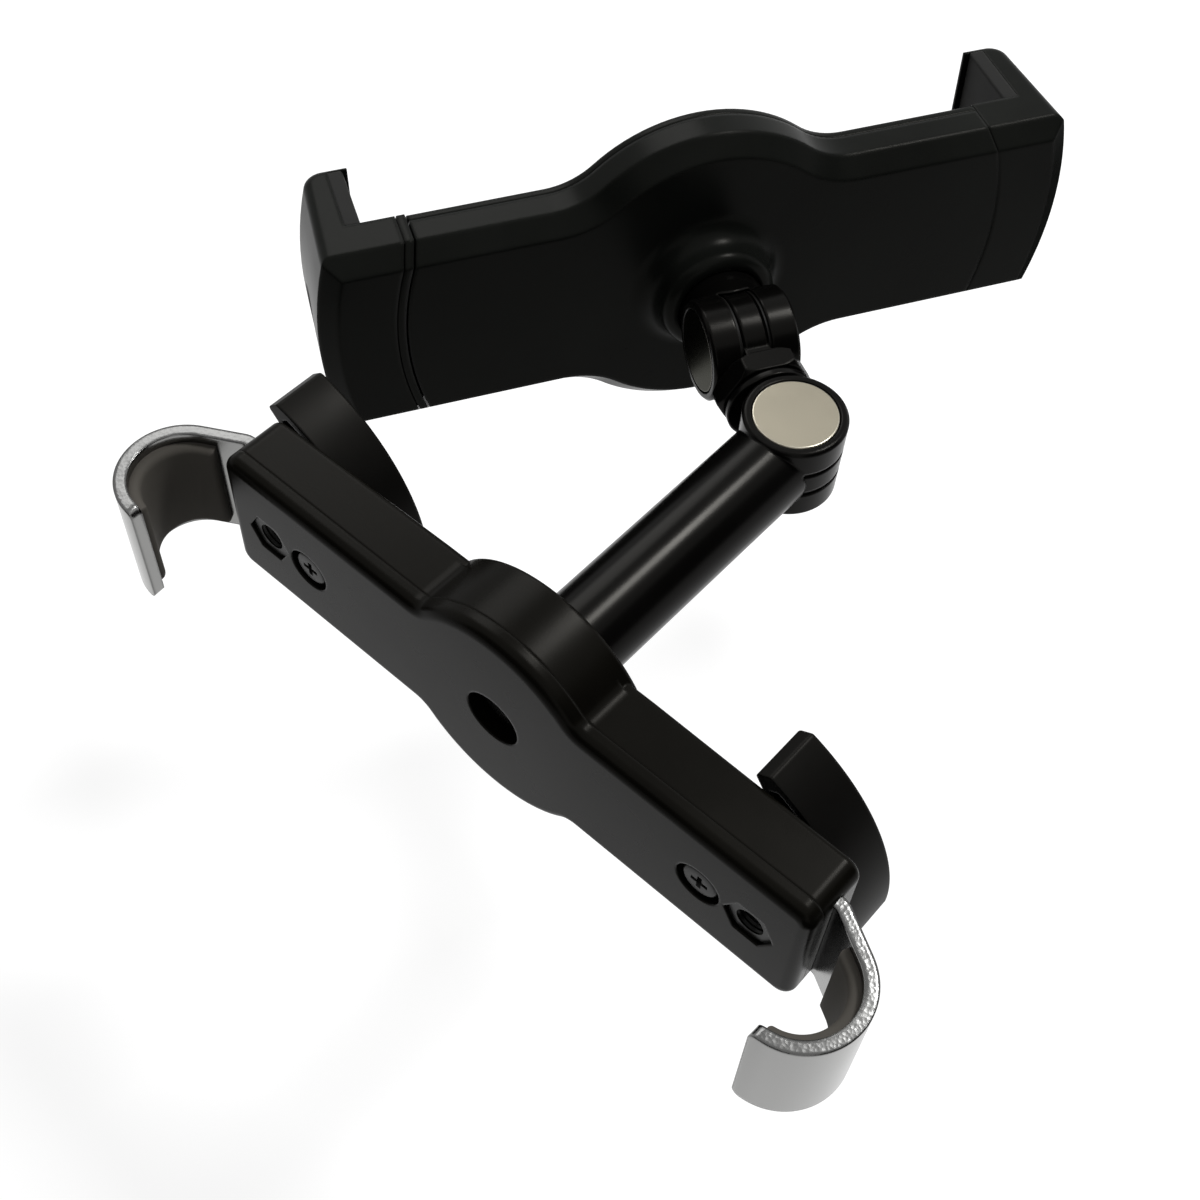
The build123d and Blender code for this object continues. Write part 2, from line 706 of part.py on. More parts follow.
# Tilt clevis: two cheeks on a round stem that turns in the holder's boss
shoulder = back_distance - web_sink - washer_gap
spigot_end = back_distance + web_thickness - web_sink + washer_gap
with BuildPart() as tilt_clevis:
    spindle(-barrel_end, barrel_height, barrel_radius)
    chamfer(tilt_clevis.edges().filter_by(GeomType.CIRCLE), ring_chamfer)
    rod(0, shoulder, stem_radius)
    rod(shoulder, spigot_end - shoulder, spigot_radius)
    spindle(-ear_start, 2 * ear_start, eye_radius + sweep_gap, mode=Mode.SUBTRACT)
    for start in (-barrel_end, barrel_end - cap_thickness):
        spindle(start, cap_thickness, cap_radius + cap_gap, mode=Mode.SUBTRACT)
    spindle(-barrel_end, barrel_height, hinge_screw_radius + hinge_gap, mode=Mode.SUBTRACT)
    spindle(head_floor, hinge_head_thickness, hinge_head_radius + screw_gap, mode=Mode.SUBTRACT)
    with BuildSketch(Plane.YZ.offset(-barrel_end)):
        RegularPolygon(hinge_nut_across / 2 + clamp_gap, hex_sides, major_radius=False)
    extrude(amount=cap_thickness + hinge_nut_thickness, mode=Mode.SUBTRACT)
    rod(spigot_end - swivel_screw_grip, swivel_screw_grip, swivel_screw_radius + thread_gap,
        mode=Mode.SUBTRACT)
keep(tilt_clevis.part, "tilt_clevis", clevis_place)

# Tilt hardware, the same set as in the elbow
with BuildPart() as tilt_screw:
    spindle(head_floor, hinge_head_thickness, hinge_head_radius)
    spindle(-nut_floor - hinge_nut_thickness, nut_floor + hinge_nut_thickness + head_floor,
            hinge_screw_radius)
keep(tilt_screw.part, "tilt_screw", clevis_place)
with BuildPart() as tilt_nut:
    with BuildSketch(Plane.YZ.offset(-nut_floor - hinge_nut_thickness)):
        RegularPolygon(hinge_nut_across / 2, hex_sides, major_radius=False)
        Circle(hinge_screw_radius + thread_gap, mode=Mode.SUBTRACT)
    extrude(amount=hinge_nut_thickness)
keep(tilt_nut.part, "tilt_nut", clevis_place)
with BuildPart() as tilt_washers:
    for start in (ear_start - friction_washer_thickness, -ear_start):
        spindle(start, friction_washer_thickness, friction_washer_radius)
        spindle(start, friction_washer_thickness, hinge_screw_radius + hinge_gap, mode=Mode.SUBTRACT)
keep(tilt_washers.part, "tilt_washers", clevis_place)
for start, name in ((-barrel_end, "tilt_left_cap"), (barrel_end - cap_thickness, "tilt_right_cap")):
    with BuildPart() as tilt_cap:
        spindle(start, cap_thickness, cap_radius)
        chamfer(tilt_cap.edges().sort_by(lambda e: abs(e.center().X))[-1], cap_edge)
    keep(tilt_cap.part, name, clevis_place)

# Washer and screw that hold the stem in the holder
with BuildPart() as swivel_washer:
    rod(spigot_end, swivel_washer_thickness, swivel_washer_radius)
    rod(spigot_end, swivel_washer_thickness, swivel_screw_radius + thread_gap, mode=Mode.SUBTRACT)
keep(swivel_washer.part, "swivel_washer", clevis_place)
with BuildPart() as swivel_screw:
    rod(spigot_end - swivel_screw_grip, swivel_screw_grip + swivel_washer_thickness,
        swivel_screw_radius)
    rod(spigot_end + swivel_washer_thickness, swivel_head_thickness, swivel_head_radius)
keep(swivel_screw.part, "swivel_screw", clevis_place)

# Places of the holder's screws, and of the spring pins
holder_screw_height = half_height - holder_screw_inset
holder_screw_places = [(x, z) for x in (-holder_screw_span, holder_screw_span)
                       for z in (-holder_screw_height, holder_screw_height)]
spring_anchor = fixed_seam_radius - spring_anchor_inset
spring_pins = [(spring_anchor, -spring_offset), (spring_anchor, spring_offset)]

# Rear shell of the holder: bevelled tray with the domed swivel boss on its back
with BuildPart() as holder_rear_shell:
    extrude(holder_outline(0), amount=-shell_depth)
    chamfer(holder_rear_shell.faces().sort_by(Axis.Y)[0].edges().filter_by(Axis.Z, reverse=True), bevel)
    extrude(between_seams(0), amount=-shell_depth, mode=Mode.INTERSECT)
    with BuildSketch() as dome:
        with BuildLine():
            Line((0, -boss_height), (boss_radius - boss_rim_round, -boss_height))
            RadiusArc((boss_radius - boss_rim_round, -boss_height),
                      (boss_radius, boss_rim_round - boss_height), -boss_rim_round)
            Line((boss_radius, boss_rim_round - boss_height), (boss_radius, -boss_flare))
            RadiusArc((boss_radius, -boss_flare), (boss_radius + boss_flare, 0), boss_flare)
            Polyline((boss_radius + boss_flare, 0), (boss_radius + boss_flare, shell_wall),
                     (0, shell_wall), (0, -boss_height))
        make_face()
    revolve(axis=Axis.Y)
    extrude(holder_outline(ledge_depth, shell_wall), amount=ledge_depth - shell_depth, mode=Mode.SUBTRACT)
    extrude(holder_outline(shell_wall, shell_wall + bevel), amount=shell_wall - ledge_depth,
            mode=Mode.SUBTRACT)
    rod(-boss_height, boss_height - web_sink, stem_radius + swivel_gap, mode=Mode.SUBTRACT)
    rod(-web_sink, web_thickness, spigot_radius + hinge_gap, mode=Mode.SUBTRACT)
    rod(web_thickness - web_sink, shell_depth, swivel_washer_radius + sweep_gap, mode=Mode.SUBTRACT)
    for x, z in holder_screw_places:
        rod(ledge_depth, shell_depth - ledge_depth, holder_post_radius, x, z)
        rod(ledge_depth, shell_depth - ledge_depth, holder_screw_radius + thread_gap, x, z,
            mode=Mode.SUBTRACT)
    for x, z in spring_pins:
        rod(shell_wall, shell_depth - slide_gap - shell_wall, spring_pin_radius, x, z)
keep(holder_rear_shell.part, "holder_rear_shell", holder_place)

# Front cover of the holder, with sunk screw seats
with BuildPart() as holder_front_cover:
    extrude(holder_outline(shell_depth), amount=-front_thickness)
    fillet(holder_front_cover.faces().sort_by(Axis.Y)[-1].edges().filter_by(Axis.Z, reverse=True),
           front_edge_round)
    extrude(between_seams(shell_depth), amount=-front_thickness, mode=Mode.INTERSECT)
    for x, z in holder_screw_places:
        rod(holder_front - holder_head_thickness, holder_head_thickness, holder_head_radius + screw_gap,
            x, z, mode=Mode.SUBTRACT)
        rod(shell_depth, front_thickness, holder_screw_radius + screw_gap, x, z, mode=Mode.SUBTRACT)
keep(holder_front_cover.part, "holder_front_cover", holder_place)

# Screws of the holder's front cover
with BuildPart() as holder_screws:
    for x, z in holder_screw_places:
        rod(holder_front - holder_head_thickness, holder_head_thickness, holder_head_radius, x, z)
        rod(holder_front - holder_screw_length, holder_screw_length - holder_head_thickness,
            holder_screw_radius, x, z)
keep(holder_screws.part, "holder_screws", holder_place)

# Jaws with their linings
make_jaw("fixed_jaw", 1, fixed_seam_radius, plug(fixed_seam_radius + seam_gap, fixed_seam_radius))
make_pad("fixed_jaw_pad", 1)
make_jaw("sliding_jaw", -1, shell_edge_radius + seam_gap, slide_tail())
make_pad("sliding_jaw_pad", -1)

# Closing springs, from the tongue's lugs to the pins in the shell
spring_start = lug_start + lug_width + clamp_gap
spring_height = (ledge_depth + shell_depth) / 2
spring_loop_radius = spring_pin_radius + clamp_gap + spring_loop_thickness
with BuildPart() as jaw_springs:
    for x, z in spring_pins:
        coil_stop = x - spring_pin_radius - clamp_gap
        with BuildSketch(Plane.YZ.offset(spring_start)):
            with Locations((spring_height, z)):
                Circle(spring_radius)
                Circle(spring_bore, mode=Mode.SUBTRACT)
        extrude(amount=coil_stop - spring_loop_thickness - spring_start)
        with BuildSketch(across(spring_height - spring_loop_thickness / 2)):
            with Locations((x, z)):
                Circle(spring_loop_radius)
            with Locations((x - spring_loop_radius, z)):
                Rectangle(2 * spring_loop_thickness, 2 * spring_radius)
            with Locations((x, z)):
                Circle(spring_pin_radius + clamp_gap, mode=Mode.SUBTRACT)
        extrude(amount=-spring_loop_thickness)
keep(jaw_springs.part, "jaw_springs", holder_place)
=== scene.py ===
"""Dresses the headrest tablet mount: finishes, fasteners, linings, studio and camera."""

import json
import logging
import math
from collections.abc import Callable, Iterator
from contextlib import contextmanager
from dataclasses import dataclass, field
from enum import Enum
from typing import ClassVar

import bmesh
import bpy
from mathutils import Matrix, Vector


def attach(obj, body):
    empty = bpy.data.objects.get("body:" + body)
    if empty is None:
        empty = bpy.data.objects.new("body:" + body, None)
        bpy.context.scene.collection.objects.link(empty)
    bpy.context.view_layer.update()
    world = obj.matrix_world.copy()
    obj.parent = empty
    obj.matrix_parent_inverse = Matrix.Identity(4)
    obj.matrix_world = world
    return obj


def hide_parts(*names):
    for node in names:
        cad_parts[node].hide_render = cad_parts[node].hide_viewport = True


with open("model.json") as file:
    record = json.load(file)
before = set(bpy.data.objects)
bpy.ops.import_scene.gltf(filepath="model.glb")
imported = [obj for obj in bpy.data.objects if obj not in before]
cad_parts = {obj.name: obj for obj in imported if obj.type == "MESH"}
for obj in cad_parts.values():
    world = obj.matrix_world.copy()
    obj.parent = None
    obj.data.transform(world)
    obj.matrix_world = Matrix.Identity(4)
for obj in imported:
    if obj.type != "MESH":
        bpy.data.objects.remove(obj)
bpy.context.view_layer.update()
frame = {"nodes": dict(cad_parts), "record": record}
log = logging.getLogger("mount")

Triple = tuple[float, float, float]
WHITE = (1.0, 1.0, 1.0, 1.0)
MM = 0.001
MICRON = 0.000001
NEAR = 0.00001
STEEP = 0.9
ROUND_SIDES = 48
HEX_SIDES = 6
SMOOTH_ANGLE = math.radians(30.0)
MIX_FACTOR, MIX_UNDER, MIX_OVER, MIX_RESULT = 0, 6, 7, 2


class Choose(Enum):
    """What an edit-mode selection picks."""

    FACE = "FACE"
    EDGE = "EDGE"


class Work(Enum):
    """What a tool shape does to a piece."""

    CUT = "DIFFERENCE"
    TRIM = "INTERSECT"
    JOIN = "UNION"


def maths(tree: bpy.types.NodeTree, operation: str, *values: bpy.types.NodeSocket | float,
          clamp: bool = False) -> bpy.types.NodeSocket:
    """Adds one maths node.

    Args:
        tree: The node tree to add to.
        operation: What it does.
        values: Its inputs in order, each a plain number or another node's output.
        clamp: Whether the result stays between 0 and 1.

    Returns:
        The result's output.
    """
    node = tree.nodes.new("ShaderNodeMath")
    node.operation = operation
    node.use_clamp = clamp
    for socket, value in zip(node.inputs, values):
        if isinstance(value, bpy.types.NodeSocket):
            tree.links.new(value, socket)
        else:
            socket.default_value = value
    return node.outputs["Value"]


def overlay(tree: bpy.types.NodeTree, mask: bpy.types.NodeSocket, under: bpy.types.NodeSocket,
            colour: Triple) -> bpy.types.NodeSocket:
    """Lays a plain colour over another where a mask says so.

    Args:
        tree: The node tree to add to.
        mask: Where the plain colour shows.
        under: The colour below.
        colour: The plain colour.

    Returns:
        The mixed colour's output.
    """
    mix = tree.nodes.new("ShaderNodeMix")
    mix.data_type = "RGBA"
    mix.inputs[MIX_OVER].default_value = (*colour, 1.0)
    tree.links.new(mask, mix.inputs[MIX_FACTOR])
    tree.links.new(under, mix.inputs[MIX_UNDER])
    return mix.outputs[MIX_RESULT]


class SharedGroup:
    """A shader node group that is built once and placed in many materials."""

    NAME: ClassVar[str]
    INPUTS: ClassVar[dict[str, float]]
    OUTPUTS: ClassVar[tuple[str, ...]]

    @classmethod
    def place(cls, tree: bpy.types.NodeTree) -> bpy.types.Node:
        """Adds the group to a material.

        Args:
            tree: The material's node tree.

        Returns:
            The group's node there.
        """
        node = tree.nodes.new("ShaderNodeGroup")
        node.node_tree = bpy.data.node_groups.get(cls.NAME) or cls._build()
        return node

    @classmethod
    def _build(cls) -> bpy.types.ShaderNodeTree:
        """Makes the group with plain value sockets and wires it up.

        Returns:
            The new node tree.
        """
        tree = bpy.data.node_groups.new(cls.NAME, "ShaderNodeTree")
        for label, value in cls.INPUTS.items():
            socket = tree.interface.new_socket(label, in_out="INPUT", socket_type="NodeSocketFloat")
            socket.default_value = value
        for label in cls.OUTPUTS:
            tree.interface.new_socket(label, in_out="OUTPUT", socket_type="NodeSocketFloat")
        start = tree.nodes.new("NodeGroupInput")
        end = tree.nodes.new("NodeGroupOutput")
        for label, result in cls._wire(tree, start.outputs).items():
            tree.links.new(result, end.inputs[label])
        return tree

    @classmethod
    def _wire(cls, tree: bpy.types.NodeTree,
              given: bpy.types.bpy_prop_collection) -> dict[str, bpy.types.NodeSocket]:
        """Adds the nodes between the group's inputs and outputs.

        Args:
            tree: The group's node tree.
            given: The group's inputs by name.

        Returns:
            What each output takes its value from.
        """
        raise NotImplementedError


class GrainGroup(SharedGroup):
    """A fine grain with slow clouding, shared by all the finishes."""

    NAME = "fine_grain"
    INPUTS = {"Scale": 4000.0, "Cloud Scale": 40.0}
    OUTPUTS = ("Height", "Cloud")
    SCALES: ClassVar[dict[str, str]] = {"Height": "Scale", "Cloud": "Cloud Scale"}
    DETAILS: ClassVar[dict[str, float]] = {"Height": 2.0, "Cloud": 4.0}
    BREAKUPS: ClassVar[dict[str, float]] = {"Height": 0.5, "Cloud": 0.6}

    @classmethod
    def _wire(cls, tree: bpy.types.NodeTree,
              given: bpy.types.bpy_prop_collection) -> dict[str, bpy.types.NodeSocket]:
        """Adds one noise for each output.

        Args:
            tree: The group's node tree.
            given: The group's inputs by name.

        Returns:
            What each output takes its value from.
        """
        coords = tree.nodes.new("ShaderNodeTexCoord")
        results = {}
        for output in cls.OUTPUTS:
            noise = tree.nodes.new("ShaderNodeTexNoise")
            noise.inputs["Detail"].default_value = cls.DETAILS[output]
            noise.inputs["Roughness"].default_value = cls.BREAKUPS[output]
            tree.links.new(coords.outputs["Object"], noise.inputs["Vector"])
            tree.links.new(given[cls.SCALES[output]], noise.inputs["Scale"])
            results[output] = noise.outputs["Fac"]
        return results


class EdgeGroup(SharedGroup):
    """A mask along outer edges, where a finish takes its edge colour, which is painted light: a painted
    highlight on most finishes, a painted shade on the chrome.
    """

    NAME = "painted_edge_light_and_shade"
    INPUTS = {"Radius": 0.6 * MM, "Sharpness": 3.0}
    OUTPUTS = ("Edge",)
    SAMPLES: ClassVar[int] = 6

    @classmethod
    def _wire(cls, tree: bpy.types.NodeTree,
              given: bpy.types.bpy_prop_collection) -> dict[str, bpy.types.NodeSocket]:
        """Compares the rounded normal with the plain one.

        Args:
            tree: The group's node tree.
            given: The group's inputs by name.

        Returns:
            What the output takes its value from.
        """
        geometry = tree.nodes.new("ShaderNodeNewGeometry")
        rounded = tree.nodes.new("ShaderNodeBevel")
        rounded.samples = cls.SAMPLES
        turn = tree.nodes.new("ShaderNodeVectorMath")
        turn.operation = "DOT_PRODUCT"
        tree.links.new(given["Radius"], rounded.inputs["Radius"])
        tree.links.new(rounded.outputs["Normal"], turn.inputs[0])
        tree.links.new(geometry.outputs["Normal"], turn.inputs[1])
        lean = maths(tree, "SUBTRACT", 1.0, turn.outputs["Value"])
        return {"Edge": maths(tree, "MULTIPLY", lean, given["Sharpness"], clamp=True)}


class ShearGroup(SharedGroup):
    """The broken relief on the cut edges of a stamped strip, which face up or down, and the mask where these
    level faces take a painted shade.
    """

    NAME = "sheared_edge_and_shade"
    INPUTS = {"Scale": 1500.0}
    OUTPUTS = ("Height", "Cut Shade")
    LEVEL_FROM: ClassVar[float] = 0.7
    LEVEL_FULL: ClassVar[float] = 0.9

    @classmethod
    def _wire(cls, tree: bpy.types.NodeTree,
              given: bpy.types.bpy_prop_collection) -> dict[str, bpy.types.NodeSocket]:
        """Finds the level faces, lays chips on them and gives the mask for their painted shade.

        Args:
            tree: The group's node tree.
            given: The group's inputs by name.

        Returns:
            What each output takes its value from.
        """
        coords = tree.nodes.new("ShaderNodeTexCoord")
        geometry = tree.nodes.new("ShaderNodeNewGeometry")
        parts = tree.nodes.new("ShaderNodeSeparateXYZ")
        mask = tree.nodes.new("ShaderNodeMapRange")
        mask.inputs["From Min"].default_value = cls.LEVEL_FROM
        mask.inputs["From Max"].default_value = cls.LEVEL_FULL
        chips = tree.nodes.new("ShaderNodeTexVoronoi")
        tree.links.new(geometry.outputs["True Normal"], parts.inputs["Vector"])
        tree.links.new(maths(tree, "ABSOLUTE", parts.outputs["Z"]), mask.inputs["Value"])
        tree.links.new(coords.outputs["Object"], chips.inputs["Vector"])
        tree.links.new(given["Scale"], chips.inputs["Scale"])
        height = maths(tree, "MULTIPLY", chips.outputs["Distance"], mask.outputs["Result"])
        # The level-face mask also carries the painted shade that darkens these faces where they would catch
        # the lamp.
        return {"Height": height, "Cut Shade": mask.outputs["Result"]}


@dataclass(frozen=True)
class Finish:
    """How one surface of the mount looks."""

    CLOUD_LOW: ClassVar[float] = 0.3
    CLOUD_HIGH: ClassVar[float] = 0.7
    ROUNDING_SAMPLES: ClassVar[int] = 8

    name: str
    colour: Triple
    # Painted light along the outer edges: lighter than the colour as a painted highlight, darker on the
    # chrome as a painted shade.
    edge_light_and_shade: Triple
    roughness: float
    roughness_swing: float
    grain_scale: float
    grain_height: float
    metallic: float = 0.0
    specular: float = 0.5
    gloss_tint: Triple = (1.0, 1.0, 1.0)
    colour_swing: float = 0.25
    edge_radius: float = 0.6 * MM
    shear_height: float = 0.0
    # A painted shade on the level cut faces, darker than the colour where they catch the lamp.
    shear_shade_colour: Triple = (0.0, 0.0, 0.0)

    def build(self) -> bpy.types.Material:
        """Makes the material.

        Returns:
            The finished node material.
        """
        material = bpy.data.materials.new(self.name)
        material.use_nodes = True
        tree = material.node_tree
        shader = tree.nodes["Principled BSDF"]
        shader.inputs["Metallic"].default_value = self.metallic
        shader.inputs["Specular IOR Level"].default_value = self.specular
        shader.inputs["Specular Tint"].default_value = (*self.gloss_tint, 1.0)
        grain = GrainGroup.place(tree)
        grain.inputs["Scale"].default_value = self.grain_scale
        tree.links.new(self._tone(tree, grain.outputs["Cloud"]), shader.inputs["Base Color"])
        tree.links.new(self._rough(tree, grain.outputs["Cloud"]), shader.inputs["Roughness"])
        tree.links.new(self._relief(tree, grain.outputs["Height"]), shader.inputs["Normal"])
        return material

    def _tone(self, tree: bpy.types.NodeTree, cloud: bpy.types.NodeSocket) -> bpy.types.NodeSocket:
        """Clouds the colour a little, paints light along the edges (a painted highlight on most finishes, a
        painted shade on the chrome) and paints shade on the sheared faces that face up or down.

        Args:
            tree: The material's node tree.
            cloud: The slow clouding.

        Returns:
            The colour output.
        """
        ramp = tree.nodes.new("ShaderNodeValToRGB")
        low, high = ramp.color_ramp.elements
        low.position, high.position = self.CLOUD_LOW, self.CLOUD_HIGH
        low.color = (*(c * (1.0 - self.colour_swing) for c in self.colour), 1.0)
        high.color = (*(min(1.0, c * (1.0 + self.colour_swing)) for c in self.colour), 1.0)
        tree.links.new(cloud, ramp.inputs["Fac"])
        edge = EdgeGroup.place(tree)
        edge.inputs["Radius"].default_value = self.edge_radius
        # Painted highlight along the edges; on the chrome this is a painted shade.
        tone = overlay(tree, edge.outputs["Edge"], ramp.outputs["Color"], self.edge_light_and_shade)
        if self.shear_height:
            # Painted shade on the level cut faces.
            tone = overlay(tree, ShearGroup.place(tree).outputs["Cut Shade"], tone, self.shear_shade_colour)
        return tone

    def _rough(self, tree: bpy.types.NodeTree, cloud: bpy.types.NodeSocket) -> bpy.types.NodeSocket:
        """Lets the gloss wander around its middle value.

        Args:
            tree: The material's node tree.
            cloud: The slow clouding.

        Returns:
            The roughness output.
        """
        spread = tree.nodes.new("ShaderNodeMapRange")
        spread.inputs["From Min"].default_value = self.CLOUD_LOW
        spread.inputs["From Max"].default_value = self.CLOUD_HIGH
        spread.inputs["To Min"].default_value = self.roughness - self.roughness_swing
        spread.inputs["To Max"].default_value = self.roughness + self.roughness_swing
        tree.links.new(cloud, spread.inputs["Value"])
        return spread.outputs["Result"]

    def _relief(self, tree: bpy.types.NodeTree, height: bpy.types.NodeSocket) -> bpy.types.NodeSocket:
        """Rounds the shading over the edges and adds the relief of the surface.

        Args:
            tree: The material's node tree.
            height: The grain's height.

        Returns:
            The normal output.
        """
        rounded = tree.nodes.new("ShaderNodeBevel")
        rounded.samples = self.ROUNDING_SAMPLES
        rounded.inputs["Radius"].default_value = self.edge_radius
        layers = [(height, self.grain_height)]
        if self.shear_height:
            layers.append((ShearGroup.place(tree).outputs["Height"], self.shear_height))
        normal = rounded.outputs["Normal"]
        for relief, depth in layers:
            bump = tree.nodes.new("ShaderNodeBump")
            bump.inputs["Distance"].default_value = depth
            tree.links.new(normal, bump.inputs["Normal"])
            tree.links.new(relief, bump.inputs["Height"])
            normal = bump.outputs["Normal"]
        return normal


WARM: Triple = (1.0, 0.97, 0.90)

# Each finish's edge colour is painted light along its edges: a painted highlight, and on the chrome, darker
# than the colour, a painted shade.
BAR_PLASTIC = Finish(
    "bar_plastic", colour=(0.0032, 0.0029, 0.0022), edge_light_and_shade=(0.011, 0.0105, 0.0092),
    roughness=0.27, roughness_swing=0.03, specular=0.042, gloss_tint=WARM,
    grain_scale=5200.0, grain_height=4.0 * MICRON)
HOLDER_PLASTIC = Finish(
    "holder_plastic", colour=(0.0058, 0.0064, 0.0056), edge_light_and_shade=(0.0066, 0.0071, 0.0063),
    roughness=0.29, roughness_swing=0.03, specular=0.036, gloss_tint=WARM,
    grain_scale=4200.0, grain_height=4.0 * MICRON, edge_radius=1.1 * MM)
KNOB_PLASTIC = Finish(
    "knob_plastic", colour=(0.0040, 0.0038, 0.0034), edge_light_and_shade=(0.012, 0.012, 0.011),
    roughness=0.38, roughness_swing=0.04, specular=0.045, gloss_tint=WARM,
    grain_scale=5200.0, grain_height=4.0 * MICRON)
ARM_PAINT = Finish(
    "arm_paint", colour=(0.0017, 0.0016, 0.0015), edge_light_and_shade=(0.009, 0.0088, 0.0082),
    roughness=0.23, roughness_swing=0.02, specular=0.066, gloss_tint=WARM,
    grain_scale=1500.0, grain_height=2.0 * MICRON)
CAP_NICKEL = Finish(
    "cap_nickel", colour=(0.27, 0.248, 0.194), edge_light_and_shade=(0.72, 0.70, 0.65), metallic=1.0,
    roughness=0.26, roughness_swing=0.02, colour_swing=0.03,
    grain_scale=5000.0, grain_height=0.8 * MICRON, edge_radius=0.3 * MM)
# The tilt caps are the same nickel as the elbow caps. Here it is darkened and its gloss dulled as painted
# shade, with a bright painted highlight at the rim.
SHADED_NICKEL = Finish(
    "shaded_nickel", colour=(0.026, 0.026, 0.024), edge_light_and_shade=(0.60, 0.58, 0.54), metallic=1.0,
    roughness=0.24, roughness_swing=0.02, colour_swing=0.03, gloss_tint=(0.55, 0.55, 0.53),
    grain_scale=3000.0, grain_height=0.03 * MICRON, edge_radius=0.3 * MM)
# The chrome's edge colour is a painted shade along its edges, and its shear colour is a painted shade on the
# level cut faces.
HOOK_CHROME = Finish(
    "hook_chrome", colour=(0.25, 0.25, 0.245), edge_light_and_shade=(0.10, 0.10, 0.098), metallic=1.0,
    roughness=0.20, roughness_swing=0.03, colour_swing=0.03,
    grain_scale=700.0, grain_height=2.0 * MICRON, edge_radius=0.9 * MM,
    shear_height=22.0 * MICRON, shear_shade_colour=(0.11, 0.11, 0.108))
PAD_RUBBER = Finish(
    "pad_rubber", colour=(0.066, 0.061, 0.053), edge_light_and_shade=(0.115, 0.105, 0.094),
    roughness=0.75, roughness_swing=0.05, specular=0.12, colour_swing=0.12,
    grain_scale=3000.0, grain_height=10.0 * MICRON, edge_radius=1.3 * MM)
JAW_RUBBER = Finish(
    "jaw_rubber", colour=(0.0090, 0.0090, 0.0084), edge_light_and_shade=(0.016, 0.016, 0.0150),
    roughness=0.6, roughness_swing=0.05, specular=0.10, colour_swing=0.12,
    grain_scale=3000.0, grain_height=10.0 * MICRON)
BLACK_STEEL = Finish(
    "black_steel", colour=(0.008, 0.0078, 0.0073), edge_light_and_shade=(0.07, 0.068, 0.063),
    roughness=0.30, roughness_swing=0.05, specular=0.12,
    grain_scale=3000.0, grain_height=3.0 * MICRON, edge_radius=0.15 * MM)
ZINC_STEEL = Finish(
    "zinc_steel", colour=(0.42, 0.42, 0.41), edge_light_and_shade=(0.6, 0.6, 0.59), metallic=1.0,
    roughness=0.35, roughness_swing=0.05, colour_swing=0.05,
    grain_scale=3000.0, grain_height=3.0 * MICRON, edge_radius=0.2 * MM)
NYLON = Finish(
    "dark_nylon", colour=(0.0045, 0.0043, 0.0040), edge_light_and_shade=(0.012, 0.0115, 0.011),
    roughness=0.45, roughness_swing=0.05, specular=0.10,
    grain_scale=4000.0, grain_height=4.0 * MICRON, edge_radius=0.2 * MM)

NODE_FINISHES: dict[str, Finish] = {
    **dict.fromkeys(("front_cover", "rear_housing"), BAR_PLASTIC),
    **dict.fromkeys(("holder_rear_shell", "holder_front_cover", "fixed_jaw", "sliding_jaw"), HOLDER_PLASTIC),
    **dict.fromkeys(("left_knob", "right_knob"), KNOB_PLASTIC),
    **dict.fromkeys(("arm", "link_tongue", "hex_eye", "tilt_clevis"), ARM_PAINT),
    **dict.fromkeys(("elbow_top_cap", "elbow_bottom_cap"), CAP_NICKEL),
    # Painted shade: the tilt caps take the darkened copy of the cap nickel.
    **dict.fromkeys(("tilt_left_cap", "tilt_right_cap"), SHADED_NICKEL),
    **dict.fromkeys(("left_hook", "right_hook"), HOOK_CHROME),
    **dict.fromkeys(("left_hook_pad", "right_hook_pad"), PAD_RUBBER),
    **dict.fromkeys(("fixed_jaw_pad", "sliding_jaw_pad"), JAW_RUBBER),
    **dict.fromkeys(("cover_screws", "clamp_nuts", "holder_screws", "left_clamp_bolt", "right_clamp_bolt"),
                    BLACK_STEEL),
    **dict.fromkeys(("clamp_washers", "arm_screw", "arm_washer", "elbow_screw", "elbow_nut", "tilt_screw",
                     "tilt_nut", "swivel_screw", "swivel_washer", "jaw_springs"), ZINC_STEEL),
    **dict.fromkeys(("elbow_washers", "tilt_washers"), NYLON),
}


@dataclass
class Wardrobe:
    """Keeps one material of each finish and dresses the pieces in them."""

    made: dict[str, bpy.types.Material] = field(default_factory=dict)

    def dress(self, piece: bpy.types.Object, finish: Finish) -> None:
        """Gives one piece its finish.

        Args:
            piece: The piece.
            finish: How it looks.
        """
        if finish.name not in self.made:
            self.made[finish.name] = finish.build()
        piece.data.materials.clear()
        piece.data.materials.append(self.made[finish.name])

    def dress_nodes(self, nodes: dict[str, bpy.types.Object]) -> None:
        """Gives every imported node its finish.

        Args:
            nodes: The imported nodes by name.
        """
        for name, node in nodes.items():
            self.dress(node, NODE_FINISHES[name])
            log.info("dressed %s in %s", name, NODE_FINISHES[name].name)


def hand_over(piece: bpy.types.Object, body: str, node: str) -> None:
    """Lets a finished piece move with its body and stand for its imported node.

    Args:
        piece: The finished piece.
        body: The body that it rides on.
        node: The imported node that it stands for.
    """
    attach(piece, body)
    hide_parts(node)
    log.info("set %s on %s", piece.name, body)


def joint_axis(name: str) -> Vector:
    """The direction of one joint's axis."""
    joints = {joint["name"]: joint for joint in frame["record"]["behaviour"]["joints"]}
    return Vector(joints[name]["axis"])


def focus(piece: bpy.types.Object) -> None:
    """Selects one piece alone and makes it the active one.

    Args:
        piece: The piece.
    """
    bpy.ops.object.select_all(action="DESELECT")
    piece.select_set(True)
    bpy.context.view_layer.objects.active = piece


